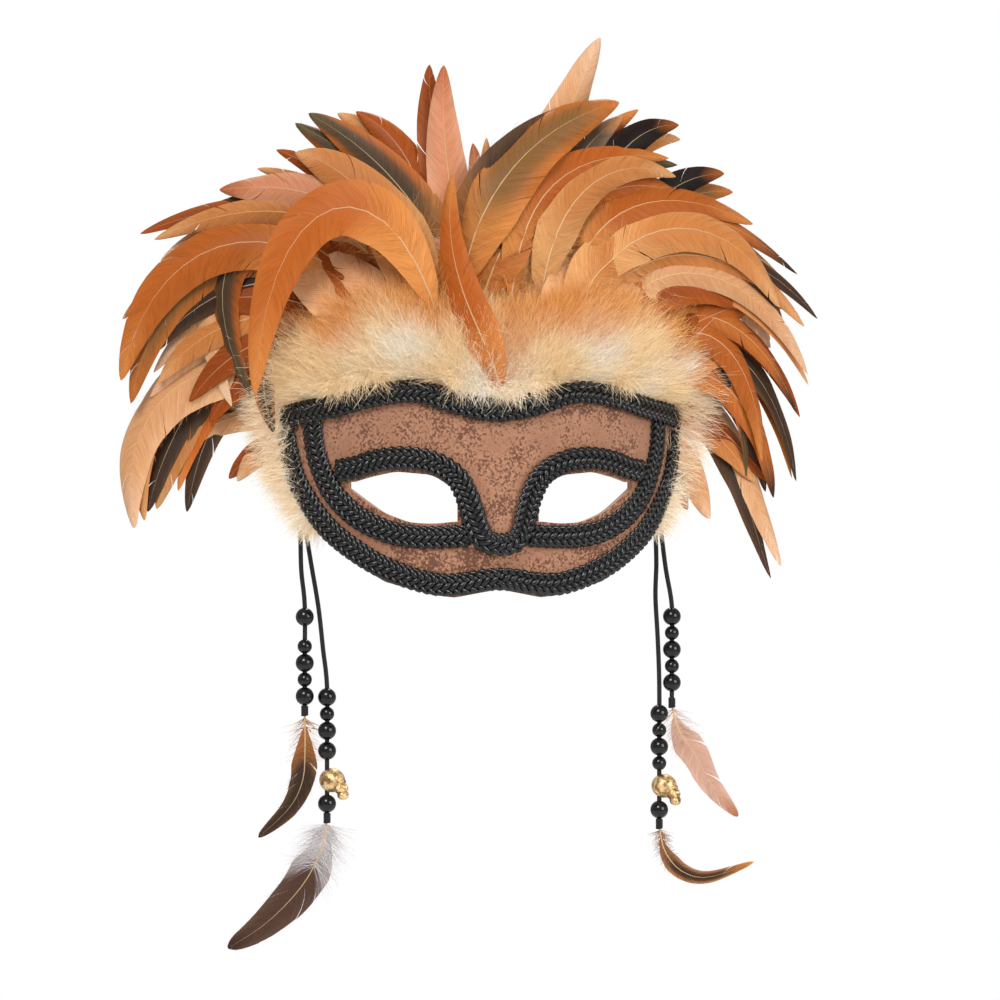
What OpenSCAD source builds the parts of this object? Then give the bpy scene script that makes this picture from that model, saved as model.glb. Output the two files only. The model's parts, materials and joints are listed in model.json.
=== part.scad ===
// Venetian masquerade half mask: a moulded shell covered with faux suede, edged with flat
// braids, crowned with a fan of cock feathers, with two beaded strands hanging at each side.
// Origin: nose bridge, on the rear face of the lining at eye height. Front faces -Y, up is +Z.
// Places on the curved mask are given unrolled: u along the curve, z up, d outward.

/* [Mask] */
// Radius of the curve that wraps the face, at the rear of the lining
face_r = 104; // [90:1:130]
// Half of the unrolled width of the mask
half_w = 100; // [98:1:104]
// How far the nose bridge stands out
nose_out = 7; // [3:0.5:12]
// Wall of the moulded shell
shell_t = 1.6; // [1.2:0.1:3]
// Thickness of the suede on the front
fabric_t = 0.6; // [0.4:0.1:1.2]
// Thickness of the lining on the back
lining_t = 0.5; // [0.3:0.1:1]
// Diameter of the holes for the tie ribbons
tie_d = 3.2; // [2:0.1:4]

/* [Braids] */
// Width of a flat braid
braid_w = 10; // [8:0.5:11]
// Thickness of a flat braid
braid_t = 2.8; // [1.5:0.1:4]

/* [Strands] */
// Diameter of the hanging cord
cord_d = 2; // [1.4:0.1:2.2]
// Diameter of a large bead
large_d = 7.8; // [6:0.1:8]
// Diameter of a small bead
small_d = 6.2; // [5:0.1:6.4]
// Radial clearance of a bead on its cord
bead_gap = 0.08; // [0.05:0.01:0.2]
// Diameter of the skull bead's cranium
skull_d = 11.2; // [9:0.1:11.6]
// Diameter of the knot that both cords of a side hang from
knot_d = 6; // [5:0.1:7]
// Gap between a knot and the cords that swing on it
swing_gap = 0.3; // [0.3:0.05:0.6]

/* [Crown] */
// Thickness of a clump of feathers at its middle
plume_t = 5; // [3:0.5:7]
// Height of the down above the top edge
ruff_h = 36; // [25:1:40]
// Forward reach of the down
ruff_out = 12; // [8:0.5:14]

/* [Hidden] */
$fn = 40;

suede = [0.64, 0.45, 0.34];
black = [0.06, 0.06, 0.07];
ginger = [0.75, 0.40, 0.18];
dark_feather = [0.25, 0.17, 0.13];
cream = [0.93, 0.85, 0.74];
gold = [0.80, 0.62, 0.30];

// ---- Layers, counted outward from the rear of the lining ----
shell_in = lining_t;
fabric_in = shell_in + shell_t;
fabric_out = fabric_in + fabric_t;
braid_gap = 0.25;
braid_in = fabric_out + braid_gap;
tape_t = 1.2;

// ---- The curved face ----
function bump(u, z) = nose_out * exp(-pow(u / 9, 2) - pow((z + 14) / 20, 2));
centre_y = face_r + bump(0, 0);
function on_face(u, z, d) =
    let (turn = u / face_r * 180 / PI, r = face_r + d)
    [r * sin(turn), centre_y - r * cos(turn) - bump(u, z), z];

// ---- Outline and eye holes of the right half, as heights over the unrolled width ----
top_line = [[0, 43], [15, 46], [33, 51], [55, 49], [70, 45], [88, 42], [half_w - 3, 38],
    [half_w, 34]];
bottom_line = [[0, -37.5], [18, -41], [27, -40], [47, -34.5], [62, -26], [78, -14.5],
    [92, 4.5], [half_w - 3, 18], [half_w, 27]];
eye_in = 17;
eye_out = 63.5;
eye_low = [[0, -9], [eye_in, -9], [27, -10], [37, -9.5], [48, -5.5], [eye_out, 5], [half_w, 29]];
eye_high = [[0, 4], [eye_in, 3.5], [19, 5], [27, 10.5], [43, 12], [55, 9.5], [eye_out, 7],
    [half_w, 32]];
function top_at(u) = lookup(abs(u), top_line);
function bottom_at(u) = lookup(abs(u), bottom_line);

// ---- Grid of the sheets ----
nose_cells = 4;
eye_cells = 10;
side_cells = 7;
low_rows = 3;
eye_rows = 2;
high_rows = 3;
half_stations = concat(
    [for (i = [1 : nose_cells]) eye_in * i / nose_cells],
    [for (i = [1 : eye_cells]) eye_in + (eye_out - eye_in) * i / eye_cells],
    [for (i = [1 : side_cells]) eye_out + (half_w - eye_out) * i / side_cells]);
last_half = len(half_stations) - 1;
stations = concat([for (i = [last_half : -1 : 0]) -half_stations[i]], [0], half_stations);
rows = low_rows + eye_rows + high_rows;

function blend(a, b, t) = a + (b - a) * t;
function row_height(u, j) =
    let (low = lookup(abs(u), eye_low), high = lookup(abs(u), eye_high))
    j <= low_rows ? blend(bottom_at(u), low, j / low_rows)
    : j <= low_rows + eye_rows ? blend(low, high, (j - low_rows) / eye_rows)
    : blend(high, top_at(u), (j - low_rows - eye_rows) / high_rows);

// True where a cell of the grid is solid, false in an eye hole and outside the grid
function is_solid(i, j) =
    i >= 0 && j >= 0 && i < len(stations) - 1 && j < rows
    && !(j >= low_rows && j < low_rows + eye_rows
        && abs(stations[i] + stations[i + 1]) / 2 > eye_in
        && abs(stations[i] + stations[i + 1]) / 2 < eye_out);
function two(a, b, c, d) = [[a, b, c], [a, c, d]];

// A sheet of the mask between two depths, with both eye holes
module face_sheet(inner, outer) {
    high = rows + 1;
    back = len(stations) * high;
    points = [for (d = [outer, inner]) for (u = stations) for (j = [0 : rows])
        on_face(u, row_height(u, j), d)];
    cells = [for (i = [0 : len(stations) - 2]) for (j = [0 : rows - 1]) if (is_solid(i, j)) [i, j]];
    faces = [for (cell = cells)
        let (i = cell[0], j = cell[1], a = i * high + j, b = a + 1, c = b + high, d = a + high)
        each concat(
            two(a, b, c, d),
            [[c + back, b + back, a + back], [d + back, c + back, a + back]],
            is_solid(i - 1, j) ? [] : two(b, a, a + back, b + back),
            is_solid(i, j + 1) ? [] : two(c, b, b + back, c + back),
            is_solid(i + 1, j) ? [] : two(d, c, c + back, d + back),
            is_solid(i, j - 1) ? [] : two(a, d, d + back, a + back))];
    polyhedron(points, faces, convexity = 10);
}

// ---- Swept solids: rings turn right-handed about the way they advance ----
module swept(rings) {
    n = len(rings[0]);
    last = len(rings) - 1;
    sides = [for (i = [0 : last - 1]) for (k = [0 : n - 1])
        let (a = i * n + k, b = i * n + (k + 1) % n)
        each two(a, a + n, b + n, b)];
    start = [for (k = [1 : n - 2]) [0, k, k + 1]];
    end = [for (k = [1 : n - 2]) [last * n, last * n + k + 1, last * n + k]];
    polyhedron([for (ring = rings) each ring], concat(sides, start, end), convexity = 10);
}
function unit(v) = v / norm(v);
// A smooth curve through the route's points, a few steps to each stretch
function spline_point(p, i, t) =
    let (a = p[max(i - 1, 0)], b = p[i], c = p[i + 1], d = p[min(i + 2, len(p) - 1)])
    0.5 * (2 * b + (c - a) * t + (2 * a - 5 * b + 4 * c - d) * t * t
        + (3 * b - a - 3 * c + d) * t * t * t);
function smooth_route(p, steps) = concat(
    [for (i = [0 : len(p) - 2]) for (k = [0 : steps - 1]) spline_point(p, i, k / steps)],
    [p[len(p) - 1]]);
function along(p, i) = unit(p[min(i + 1, len(p) - 1)] - p[max(i - 1, 0)]);

// ---- Braids: flat bands laid on the suede, routes in unrolled places ----
module braid(route) {
    path = smooth_route(route, 3);
    half = braid_w / 2;
    section = [[half, 0], [half, 0.6], [half - 1.2, 1], [1.2 - half, 1], [-half, 0.6], [-half, 0]];
    swept([for (i = [0 : len(path) - 1])
        let (t = along(path, i))
        [for (s = section)
            on_face(path[i][0] - t[1] * s[0], path[i][1] + t[0] * s[0], braid_in + braid_t * s[1])]]);
}
function mirrored(route) = [for (p = route) [-p[0], p[1]]];
edge_inset = braid_w / 2 + 0.4;
top_end = half_w - 3.5;
top_half = [[17, 46 - edge_inset], [33, 51 - edge_inset], [52, 49.2 - edge_inset],
    [70, 45 - edge_inset], [86, 42.6 - edge_inset], [top_end, 40.4 - edge_inset]];
top_route = concat([for (i = [len(top_half) - 1 : -1 : 0]) [-top_half[i][0], top_half[i][1]]],
    [[0, 43.4 - edge_inset]], top_half);
rim_route = [[half_w - 5.5, 28.5], [91, 14], [85.5, 3.5], [73, -11.5], [58, -22.5], [44, -29.8],
    [27, -35.2], [14, -35], [6, -33.4], [0.4, -33.2]];
brow_half = [[7, -16.6], [10.4, -9], [13, 1], [17.5, 9.8], [26, 15.5], [38, 17.8], [50, 16.6],
    [60, 13.6], [66, 12.5]];
brow_route = concat([for (i = [len(brow_half) - 1 : -1 : 0]) [-brow_half[i][0], brow_half[i][1]]],
    [[0, -18.6]], brow_half);
cheek_route = [[79.8, 32], [78.6, 20], [71.5, 5], [60.5, -6], [47, -12.8], [35, -15.3], [24.5, -15.6],
    [17, -15.2]];

// ---- Feathers of the crown: soft clumps that rise from the tape ----
function arc_point(a, b, c, t) = (1 - t) * (1 - t) * a + 2 * t * (1 - t) * b + t * t * c;
plume_steps = 12;
module plume(u, root, bend, tip, width) {
    path = [for (i = [0 : plume_steps]) arc_point(root, bend, tip, i / plume_steps)];
    turn = u / face_r * 180 / PI;
    facing = [sin(turn), -cos(turn), 0];
    swept([for (i = [0 : plume_steps])
        let (t = along(path, i), flat = unit(facing - t * (facing * t)),
            side = cross(flat, t), swell = pow(sin(6 + 168 * i / plume_steps), 0.8))
        [for (k = [0 : 7])
            path[i] + side * cos(45 * k) * width / 2 * swell
                + flat * sin(45 * k) * plume_t / 2 * (0.3 + 0.7 * swell)]]);
}
plume_deep = -tape_t - 0.4 * plume_t - 0.8;
function plume_root(u) = on_face(u, top_at(u) - 6, plume_deep);
side_u = half_w - 3;
side_root_z = 31;
function side_root(side) = on_face(side * side_u, side_root_z, plume_deep - 2);

// Down that stands on the top edge, between two places along it
module down(from, to) {
    lean = ruff_out - ruff_back;
    section = [[0.1, 0], [ruff_back, ruff_h * 0.15], [ruff_back, ruff_h * 0.95],
        [ruff_back + lean / 2, ruff_h], [ruff_back + lean, ruff_h * 0.6],
        [ruff_back + lean * 0.7, ruff_h * 0.15], [shell_in + shell_t, 0]];
    inside = [for (u = stations) if (u > from + 1 && u < to - 1) u];
    swept([for (u = concat([from], inside, [to]))
        [for (s = section) on_face(u, top_at(u) + s[1], s[0])]]);
}
ruff_back = 5;
down_gap = 0.2;
down_split = 32;
down_end = 73;

// ---- Hanging strands: places in millimetres from the origin ----
hang_x = 77.6;
hang_y = 43;
knot_z = -12;
route_a = [[-78.9, 43, -15.3], [-78.6, 43, -30], [-77.1, 43, -45], [-77.1, 43, -66], [-77.1, 43, -88]];
route_b = [[-76.3, 43, -15.3], [-74.4, 43, -27], [-71.2, 43, -46], [-69.2, 43, -64], [-67.5, 43, -80],
    [-67.5, 43, -107], [-67.5, 43, -134]];
route_c = [[76.3, 43, -15.3], [76.6, 43, -28], [76.2, 43, -42], [77.2, 43, -60], [77.9, 43, -80],
    [77.9, 43, -109], [77.9, 43, -138.6]];
route_d = [[78.9, 43, -15.3], [80.8, 43, -30], [83.5, 43, -46], [83.5, 43, -64], [83.5, 43, -86]];
cord_sides = 8;
module cord(route) {
    color(black) swept([for (i = [0 : len(route) - 1])
        let (t = along(route, i), side = unit(cross(t, [0, 1, 0])), other = cross(t, side))
        [for (k = [0 : cord_sides - 1])
            route[i] + (side * cos(360 * k / cord_sides) + other * sin(360 * k / cord_sides))
                * cord_d / 2]]);
}
bore_r = cord_d / 2 + bead_gap;
module bead(x, z, size) {
    color(black) translate([x, hang_y, z]) difference() {
        sphere(d = size);
        cylinder(r = bore_r, h = size + 2, center = true);
    }
}
// A skull that looks to the right, with its jaw to the lower right
jaw_reach = 4.6;
jaw_d = skull_d * 0.6;
skull_off = 2.2;
module skull(x, z) {
    color(gold) translate([x, hang_y, z]) difference() {
        translate([skull_off, 0, 0]) hull() {
            sphere(d = skull_d, $fn = 24);
            translate([jaw_reach, 0, -jaw_reach]) sphere(d = jaw_d, $fn = 24);
        }
        cylinder(r = bore_r, h = 3 * skull_d, center = true);
    }
}
// A thread wrapping that joins the end of a cord to a quill
binding_h = 4.4;
binding_d = cord_d + 1.2;
quill_d = 1.2;
quill_hole = quill_d + 0.1;
socket_h = 3;
module binding(x, z) {
    color(black) translate([x, hang_y, z - binding_h]) difference() {
        cylinder(d = binding_d, h = binding_h);
        translate([0, 0, -1]) cylinder(d = quill_hole, h = socket_h + 1);
    }
}
// A flat feather below its quill: route and half widths on both sides
blade_t = 1.2;
module hanging_feather(x, z, route, width) {
    path = smooth_route(route, 3);
    last = len(path) - 1;
    translate([x, hang_y, z - binding_h - 2]) cylinder(d = quill_d, h = 2 + socket_h - 0.2);
    swept([for (i = [0 : last])
        let (t = along(path, i), side = cross([0, -1, 0], t),
            swell = pow(sin(3 + 170 * pow(i / last, 0.8)), 0.9))
        [for (k = [0 : 7])
            path[i] + side * cos(45 * k) * max(width / 2 * swell, quill_d / 2)
                + [0, -1, 0] * sin(45 * k) * blade_t / 2]]);
}
anchor_u = 88.5;
anchor_z = 11;
module cord_anchor(side) {
    turn = anchor_u / face_r * 180 / PI;
    color(black) {
        translate(on_face(side * anchor_u, anchor_z, -1.6)) rotate([90, 0, side * turn])
            cylinder(d = 7, h = 1.4);
        translate([side * hang_x, hang_y, knot_z + knot_d / 2 + swing_gap])
            cylinder(d = 2.4, h = anchor_z - knot_z - knot_d / 2 - swing_gap);
    }
}
module cord_knot(side) {
    color(black) translate([side * hang_x, hang_y, knot_z]) sphere(d = knot_d);
}

// ---- Tie holes: bores that run radially through the three layers ----
tie_u = 84.8;
tie_z = 17;
module tie_holes() {
    turn = tie_u / face_r * 180 / PI;
    for (side = [-1, 1])
        translate([0, centre_y, tie_z]) rotate([90, 0, side * turn])
            translate([0, 0, face_r - 4]) cylinder(d = tie_d, h = 12);
}

// ---- Sub-parts ----
module mask_shell() {
    color("ivory") difference() {
        face_sheet(shell_in, fabric_in);
        tie_holes();
    }
}
module front_fabric() {
    color(suede) difference() {
        face_sheet(fabric_in, fabric_out);
        tie_holes();
    }
}
module back_lining() {
    color([0.15, 0.13, 0.12]) difference() {
        face_sheet(0, shell_in);
        tie_holes();
    }
}
module plume_tape() {
    ends = [for (u = stations) if (abs(u) < 84) u];
    color(black) swept([for (u = ends)
        [for (s = [[-tape_t, -12], [-tape_t, -3], [0, -3], [0, -12]])
            on_face(u, top_at(u) + s[1], s[0])]]);
}
module top_braid() { color(black) braid(top_route); }
module left_rim_braid() { color(black) braid(mirrored(rim_route)); }
module right_rim_braid() { color(black) braid(rim_route); }
module brow_braid() { color(black) braid(brow_route); }
module left_cheek_braid() { color(black) braid(mirrored(cheek_route)); }
module right_cheek_braid() { color(black) braid(cheek_route); }

module left_side_plume() {
    color(dark_feather) plume(-side_u, side_root(-1), [-142, 60, 62], [-160, 46, -14], 24);
}
module left_arch_plume() {
    color(ginger) plume(-80, plume_root(-80), [-112, 52, 110], [-156, 44, 56], 26);
}
module left_fan_plume() {
    color(ginger) plume(-56, plume_root(-56), [-70, 36, 112], [-138, 34, 116], 26);
}
module left_tall_plume() {
    color(ginger) plume(-20, plume_root(-20), on_face(-28, 130, -8), [-46, 12, 180], 42);
}
module right_tall_plume() {
    color(ginger) plume(16, plume_root(16), on_face(22, 130, -8), [46, 12, 196], 42);
}
module right_fan_plume() {
    color(ginger) plume(52, plume_root(52), [60, 32, 122], [104, 28, 150], 32);
}
module right_arch_plume() {
    color(ginger) plume(80, plume_root(80), [108, 52, 100], [142, 42, 66], 26);
}
module right_side_plume() {
    color(dark_feather) plume(side_u, side_root(1), [138, 60, 50], [136, 46, -24], 22);
}

module left_down() { color(cream) down(-down_end, -down_split - down_gap); }
module centre_down() { color(cream) down(-down_split, down_split); }
module right_down() { color(cream) down(down_split + down_gap, down_end); }

x_a = -77.1;
x_b = -67.5;
x_c = 77.9;
x_d = 83.5;
end_a = -88;
end_b = -134;
end_c = -138.6;
end_d = -86;
feather_route_a = [[-77.1, 43, -94], [-77, 43, -106], [-78, 43, -120], [-84, 43, -132], [-97, 43, -144]];
feather_route_b = [[-67.5, 43, -140], [-70.5, 43, -151], [-79, 43, -166], [-94, 43, -181],
    [-110, 43, -191]];
feather_route_c = [[77.9, 43, -144.6], [80.5, 43, -153], [88, 43, -161.6], [100, 43, -164.4],
    [120, 43, -158]];
feather_route_d = [[83.5, 43, -92], [87, 43, -101], [94, 43, -111], [101, 43, -124], [113, 43, -138]];

module left_cord_anchor() { cord_anchor(-1); }
module right_cord_anchor() { cord_anchor(1); }
module left_cord_knot() { cord_knot(-1); }
module right_cord_knot() { cord_knot(1); }

// The left outer strand
module cord_a() { cord(route_a); }
module bead_a1() { bead(x_a, -50, large_d); }
module bead_a2() { bead(x_a, -62.6, small_d); }
module bead_a3() { bead(x_a, -69.7, large_d); }
module bead_a4() { bead(x_a, -76.8, small_d); }
module bead_a5() { bead(x_a, -83.9, large_d); }
module binding_a() { binding(x_a, end_a); }
module feather_a() { color(dark_feather) hanging_feather(x_a, end_a, feather_route_a, 9); }

// The left inner strand
module cord_b() { cord(route_b); }
module bead_b1() { bead(x_b, -84.4, large_d); }
module bead_b2() { bead(x_b, -91.6, small_d); }
module bead_b3() { bead(x_b, -98.8, large_d); }
module bead_b4() { bead(x_b, -107.4, large_d); }
module bead_b5() { bead(x_b, -130, large_d); }
module skull_b() { skull(x_b, -120); }
module binding_b() { binding(x_b, end_b); }
module feather_b() { color(dark_feather) hanging_feather(x_b, end_b, feather_route_b, 17); }

// The right inner strand
module cord_c() { cord(route_c); }
module bead_c1() { bead(x_c, -92.8, large_d); }
module bead_c2() { bead(x_c, -100, small_d); }
module bead_c3() { bead(x_c, -107.2, large_d); }
module bead_c4() { bead(x_c, -114.4, small_d); }
module bead_c5() { bead(x_c, -134.6, large_d); }
module skull_c() { skull(x_c, -124.3); }
module binding_c() { binding(x_c, end_c); }
module feather_c() { color(dark_feather) hanging_feather(x_c, end_c, feather_route_c, 8); }

// The right outer strand
module cord_d() { cord(route_d); }
module bead_d1() { bead(x_d, -50.6, large_d); }
module bead_d2() { bead(x_d, -57.8, small_d); }
module bead_d3() { bead(x_d, -65, large_d); }
module bead_d4() { bead(x_d, -72.2, small_d); }
module bead_d5() { bead(x_d, -79.4, large_d); }
module binding_d() { binding(x_d, end_d); }
module feather_d() { color([0.80, 0.60, 0.48]) hanging_feather(x_d, end_d, feather_route_d, 11); }

mask_shell();
front_fabric();
back_lining();
plume_tape();
top_braid();
left_rim_braid();
right_rim_braid();
brow_braid();
left_cheek_braid();
right_cheek_braid();
left_side_plume();
left_arch_plume();
left_fan_plume();
left_tall_plume();
right_tall_plume();
right_fan_plume();
right_arch_plume();
right_side_plume();
left_down();
centre_down();
right_down();
left_cord_anchor();
right_cord_anchor();
left_cord_knot();
right_cord_knot();
cord_a();
bead_a1();
bead_a2();
bead_a3();
bead_a4();
bead_a5();
binding_a();
feather_a();
cord_b();
bead_b1();
bead_b2();
bead_b3();
bead_b4();
bead_b5();
skull_b();
binding_b();
feather_b();
cord_c();
bead_c1();
bead_c2();
bead_c3();
bead_c4();
bead_c5();
skull_c();
binding_c();
feather_c();
cord_d();
bead_d1();
bead_d2();
bead_d3();
bead_d4();
bead_d5();
binding_d();
feather_d();
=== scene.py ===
"""Venetian masquerade mask: suede, braids, a crown of cock feathers and down, beaded strands."""
import json
import logging
import math
import random
from dataclasses import dataclass, field
from enum import Enum
from typing import Callable, Iterable, Sequence

import bpy
from mathutils import Matrix, Vector, noise


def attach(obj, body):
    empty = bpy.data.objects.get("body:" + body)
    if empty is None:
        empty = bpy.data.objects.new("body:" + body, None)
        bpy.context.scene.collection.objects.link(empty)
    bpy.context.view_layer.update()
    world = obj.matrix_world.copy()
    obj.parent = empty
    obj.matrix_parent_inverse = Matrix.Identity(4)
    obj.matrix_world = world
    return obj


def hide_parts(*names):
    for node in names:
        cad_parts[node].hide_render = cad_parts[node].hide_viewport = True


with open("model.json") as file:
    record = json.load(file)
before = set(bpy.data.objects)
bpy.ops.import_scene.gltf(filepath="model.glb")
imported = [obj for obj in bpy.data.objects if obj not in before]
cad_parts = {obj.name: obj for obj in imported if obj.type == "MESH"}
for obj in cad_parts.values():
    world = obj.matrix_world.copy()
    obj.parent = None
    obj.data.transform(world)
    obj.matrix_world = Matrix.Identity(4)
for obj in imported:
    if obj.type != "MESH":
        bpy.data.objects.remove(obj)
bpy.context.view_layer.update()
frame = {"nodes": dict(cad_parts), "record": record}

log = logging.getLogger("mask")
MM = 0.001
Triple = tuple[float, float, float]
Colour = Triple
Route = Sequence[tuple[float, float]]
Frames = Callable[[float], tuple[Vector, ...]]
Shade = Callable[[float, float, float], Colour]
Socket = bpy.types.NodeSocket
Material = bpy.types.Material
Piece = bpy.types.Object


# ---------- small helpers
def deselect() -> None:
    """Deselects every object."""
    bpy.ops.object.select_all(action="DESELECT")


def make_piece(name: str, verts: Iterable[Vector], faces: Iterable[Sequence[int]],
               material: Material, smooth: bool = True,
               tints: Sequence[Colour] | None = None,
               uvs: Sequence[tuple[float, float]] | None = None) -> Piece:
    """Makes an object from points and faces.

    Args:
        name: The piece's name.
        verts: Points in metres.
        faces: Index lists, turned outwards.
        material: The piece's finish.
        smooth: Whether the faces are smooth.
        tints: A colour for each point, kept in the attribute "tint".
        uvs: A place on the surface for each point, kept in the UV map "lay".

    Returns:
        The new object, at the origin.
    """
    mesh = bpy.data.meshes.new(name)
    mesh.from_pydata([tuple(v) for v in verts], [], [tuple(f) for f in faces])
    mesh.materials.append(material)
    if tints is not None:
        layer = mesh.color_attributes.new(name="tint", type="FLOAT_COLOR", domain="POINT")
        layer.data.foreach_set("color", [c for tint in tints for c in (*tint, 1.0)])
    if uvs is not None:
        lay = mesh.uv_layers.new(name="lay")
        loops = [loop.vertex_index for loop in mesh.loops]
        lay.data.foreach_set("uv", [c for index in loops for c in uvs[index]])
    mesh.polygons.foreach_set("use_smooth", [smooth] * len(mesh.polygons))
    mesh.update()
    piece = bpy.data.objects.new(name, mesh)
    bpy.context.scene.collection.objects.link(piece)
    return piece


def coat(piece: Piece, material: Material) -> None:
    """Gives a piece one finish and smooth faces."""
    piece.data.materials.clear()
    piece.data.materials.append(material)
    piece.data.polygons.foreach_set("use_smooth", [True] * len(piece.data.polygons))


def merged(name: str, parts: Sequence[Piece],
           material: Material) -> Piece:
    """Joins parts into one smooth piece that sits at the origin."""
    deselect()
    for part in parts:
        part.select_set(True)
    bpy.context.view_layer.objects.active = parts[0]
    bpy.ops.object.join()
    piece = bpy.context.view_layer.objects.active
    piece.name = name
    coat(piece, material)
    piece.data.transform(piece.matrix_world)
    piece.matrix_world = Matrix.Identity(4)
    return piece


def ring_mesh(place: Vector, turn: Triple, major: float, minor: float,
              segments: tuple[int, int]) -> Piece:
    """Adds a torus and returns it."""
    bpy.ops.mesh.primitive_torus_add(
        location=place, rotation=turn, major_radius=major, minor_radius=minor,
        major_segments=segments[0], minor_segments=segments[1])
    return bpy.context.active_object


def tube(start: int, rings: int, around: int) -> list[tuple[int, ...]]:
    """Returns the faces of an open tube whose rings of points come one after another."""
    faces = []
    for i in range(rings):
        for q in range(around):
            a, b = (start + i * around + k for k in (q, (q + 1) % around))
            faces.append((a, b, b + around, a + around))
    return faces


def fit(piece: Piece, body: str, slot: str, *nodes: str) -> Piece:
    """Puts a piece on a body.

    Args:
        piece: The piece.
        body: The body that it moves with.
        slot: The record's material slot; not used.
        nodes: The CAD nodes that it stands for.

    Returns:
        The same piece.
    """
    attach(piece, body)
    if nodes:
        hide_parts(*nodes)
    log.info("%s: %d faces on %s", piece.name, len(getattr(piece.data, "polygons", [])), body)
    return piece


def lerp(a: float, b: float, t: float) -> float:
    """Returns the value a share t of the way from a to b."""
    return a + (b - a) * t


def mix(a: Colour, b: Colour, t: float) -> Colour:
    """Returns the colour a share t of the way from a to b."""
    t = min(max(t, 0.0), 1.0)
    return tuple(lerp(x, y, t) for x, y in zip(a, b))


def look_up(x: float, line: Route) -> float:
    """Returns the height of a broken line at x."""
    if x <= line[0][0]:
        return line[0][1]
    for (x0, y0), (x1, y1) in zip(line, line[1:]):
        if x <= x1:
            return lerp(y0, y1, (x - x0) / (x1 - x0))
    return line[-1][1]


def spline(points: Sequence[Vector], steps: int) -> list[Vector]:
    """Returns a smooth curve through the points, with a few steps to each stretch."""
    curve = []
    for i in range(len(points) - 1):
        a, b, c = points[max(i - 1, 0)], points[i], points[i + 1]
        d = points[min(i + 2, len(points) - 1)]
        for k in range(steps):
            t = k / steps
            curve.append(0.5 * (2 * b + (c - a) * t + (2 * a - 5 * b + 4 * c - d) * t * t
                                + (3 * b - a - 3 * c + d) * t * t * t))
    return curve + [points[-1]]


def bezier(p: Sequence[Vector], t: float) -> Vector:
    """Returns the point at t on a cubic curve with four control points."""
    s = 1 - t
    return s * s * s * p[0] + 3 * s * s * t * p[1] + 3 * s * t * t * p[2] + t * t * t * p[3]


# ---------- finishes
def mottle() -> bpy.types.NodeTree:
    """Returns the shared mottle: a fractal value for grain, fuzz, grime and flakes."""
    tree = bpy.data.node_groups.get("mottle")
    if tree:
        return tree
    tree = bpy.data.node_groups.new("mottle", "ShaderNodeTree")
    tree.interface.new_socket("Place", in_out="INPUT", socket_type="NodeSocketVector")
    knobs = ("Scale", "Detail", "Roughness")
    for name in knobs:
        tree.interface.new_socket(name, in_out="INPUT", socket_type="NodeSocketFloat")
    tree.interface.new_socket("Value", in_out="OUTPUT", socket_type="NodeSocketFloat")
    entry, leave = tree.nodes.new("NodeGroupInput"), tree.nodes.new("NodeGroupOutput")
    cloud = tree.nodes.new("ShaderNodeTexNoise")
    tree.links.new(entry.outputs["Place"], cloud.inputs["Vector"])
    for name in knobs:
        tree.links.new(entry.outputs[name], cloud.inputs[name])
    tree.links.new(cloud.outputs["Fac"], leave.inputs["Value"])
    return tree


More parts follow.
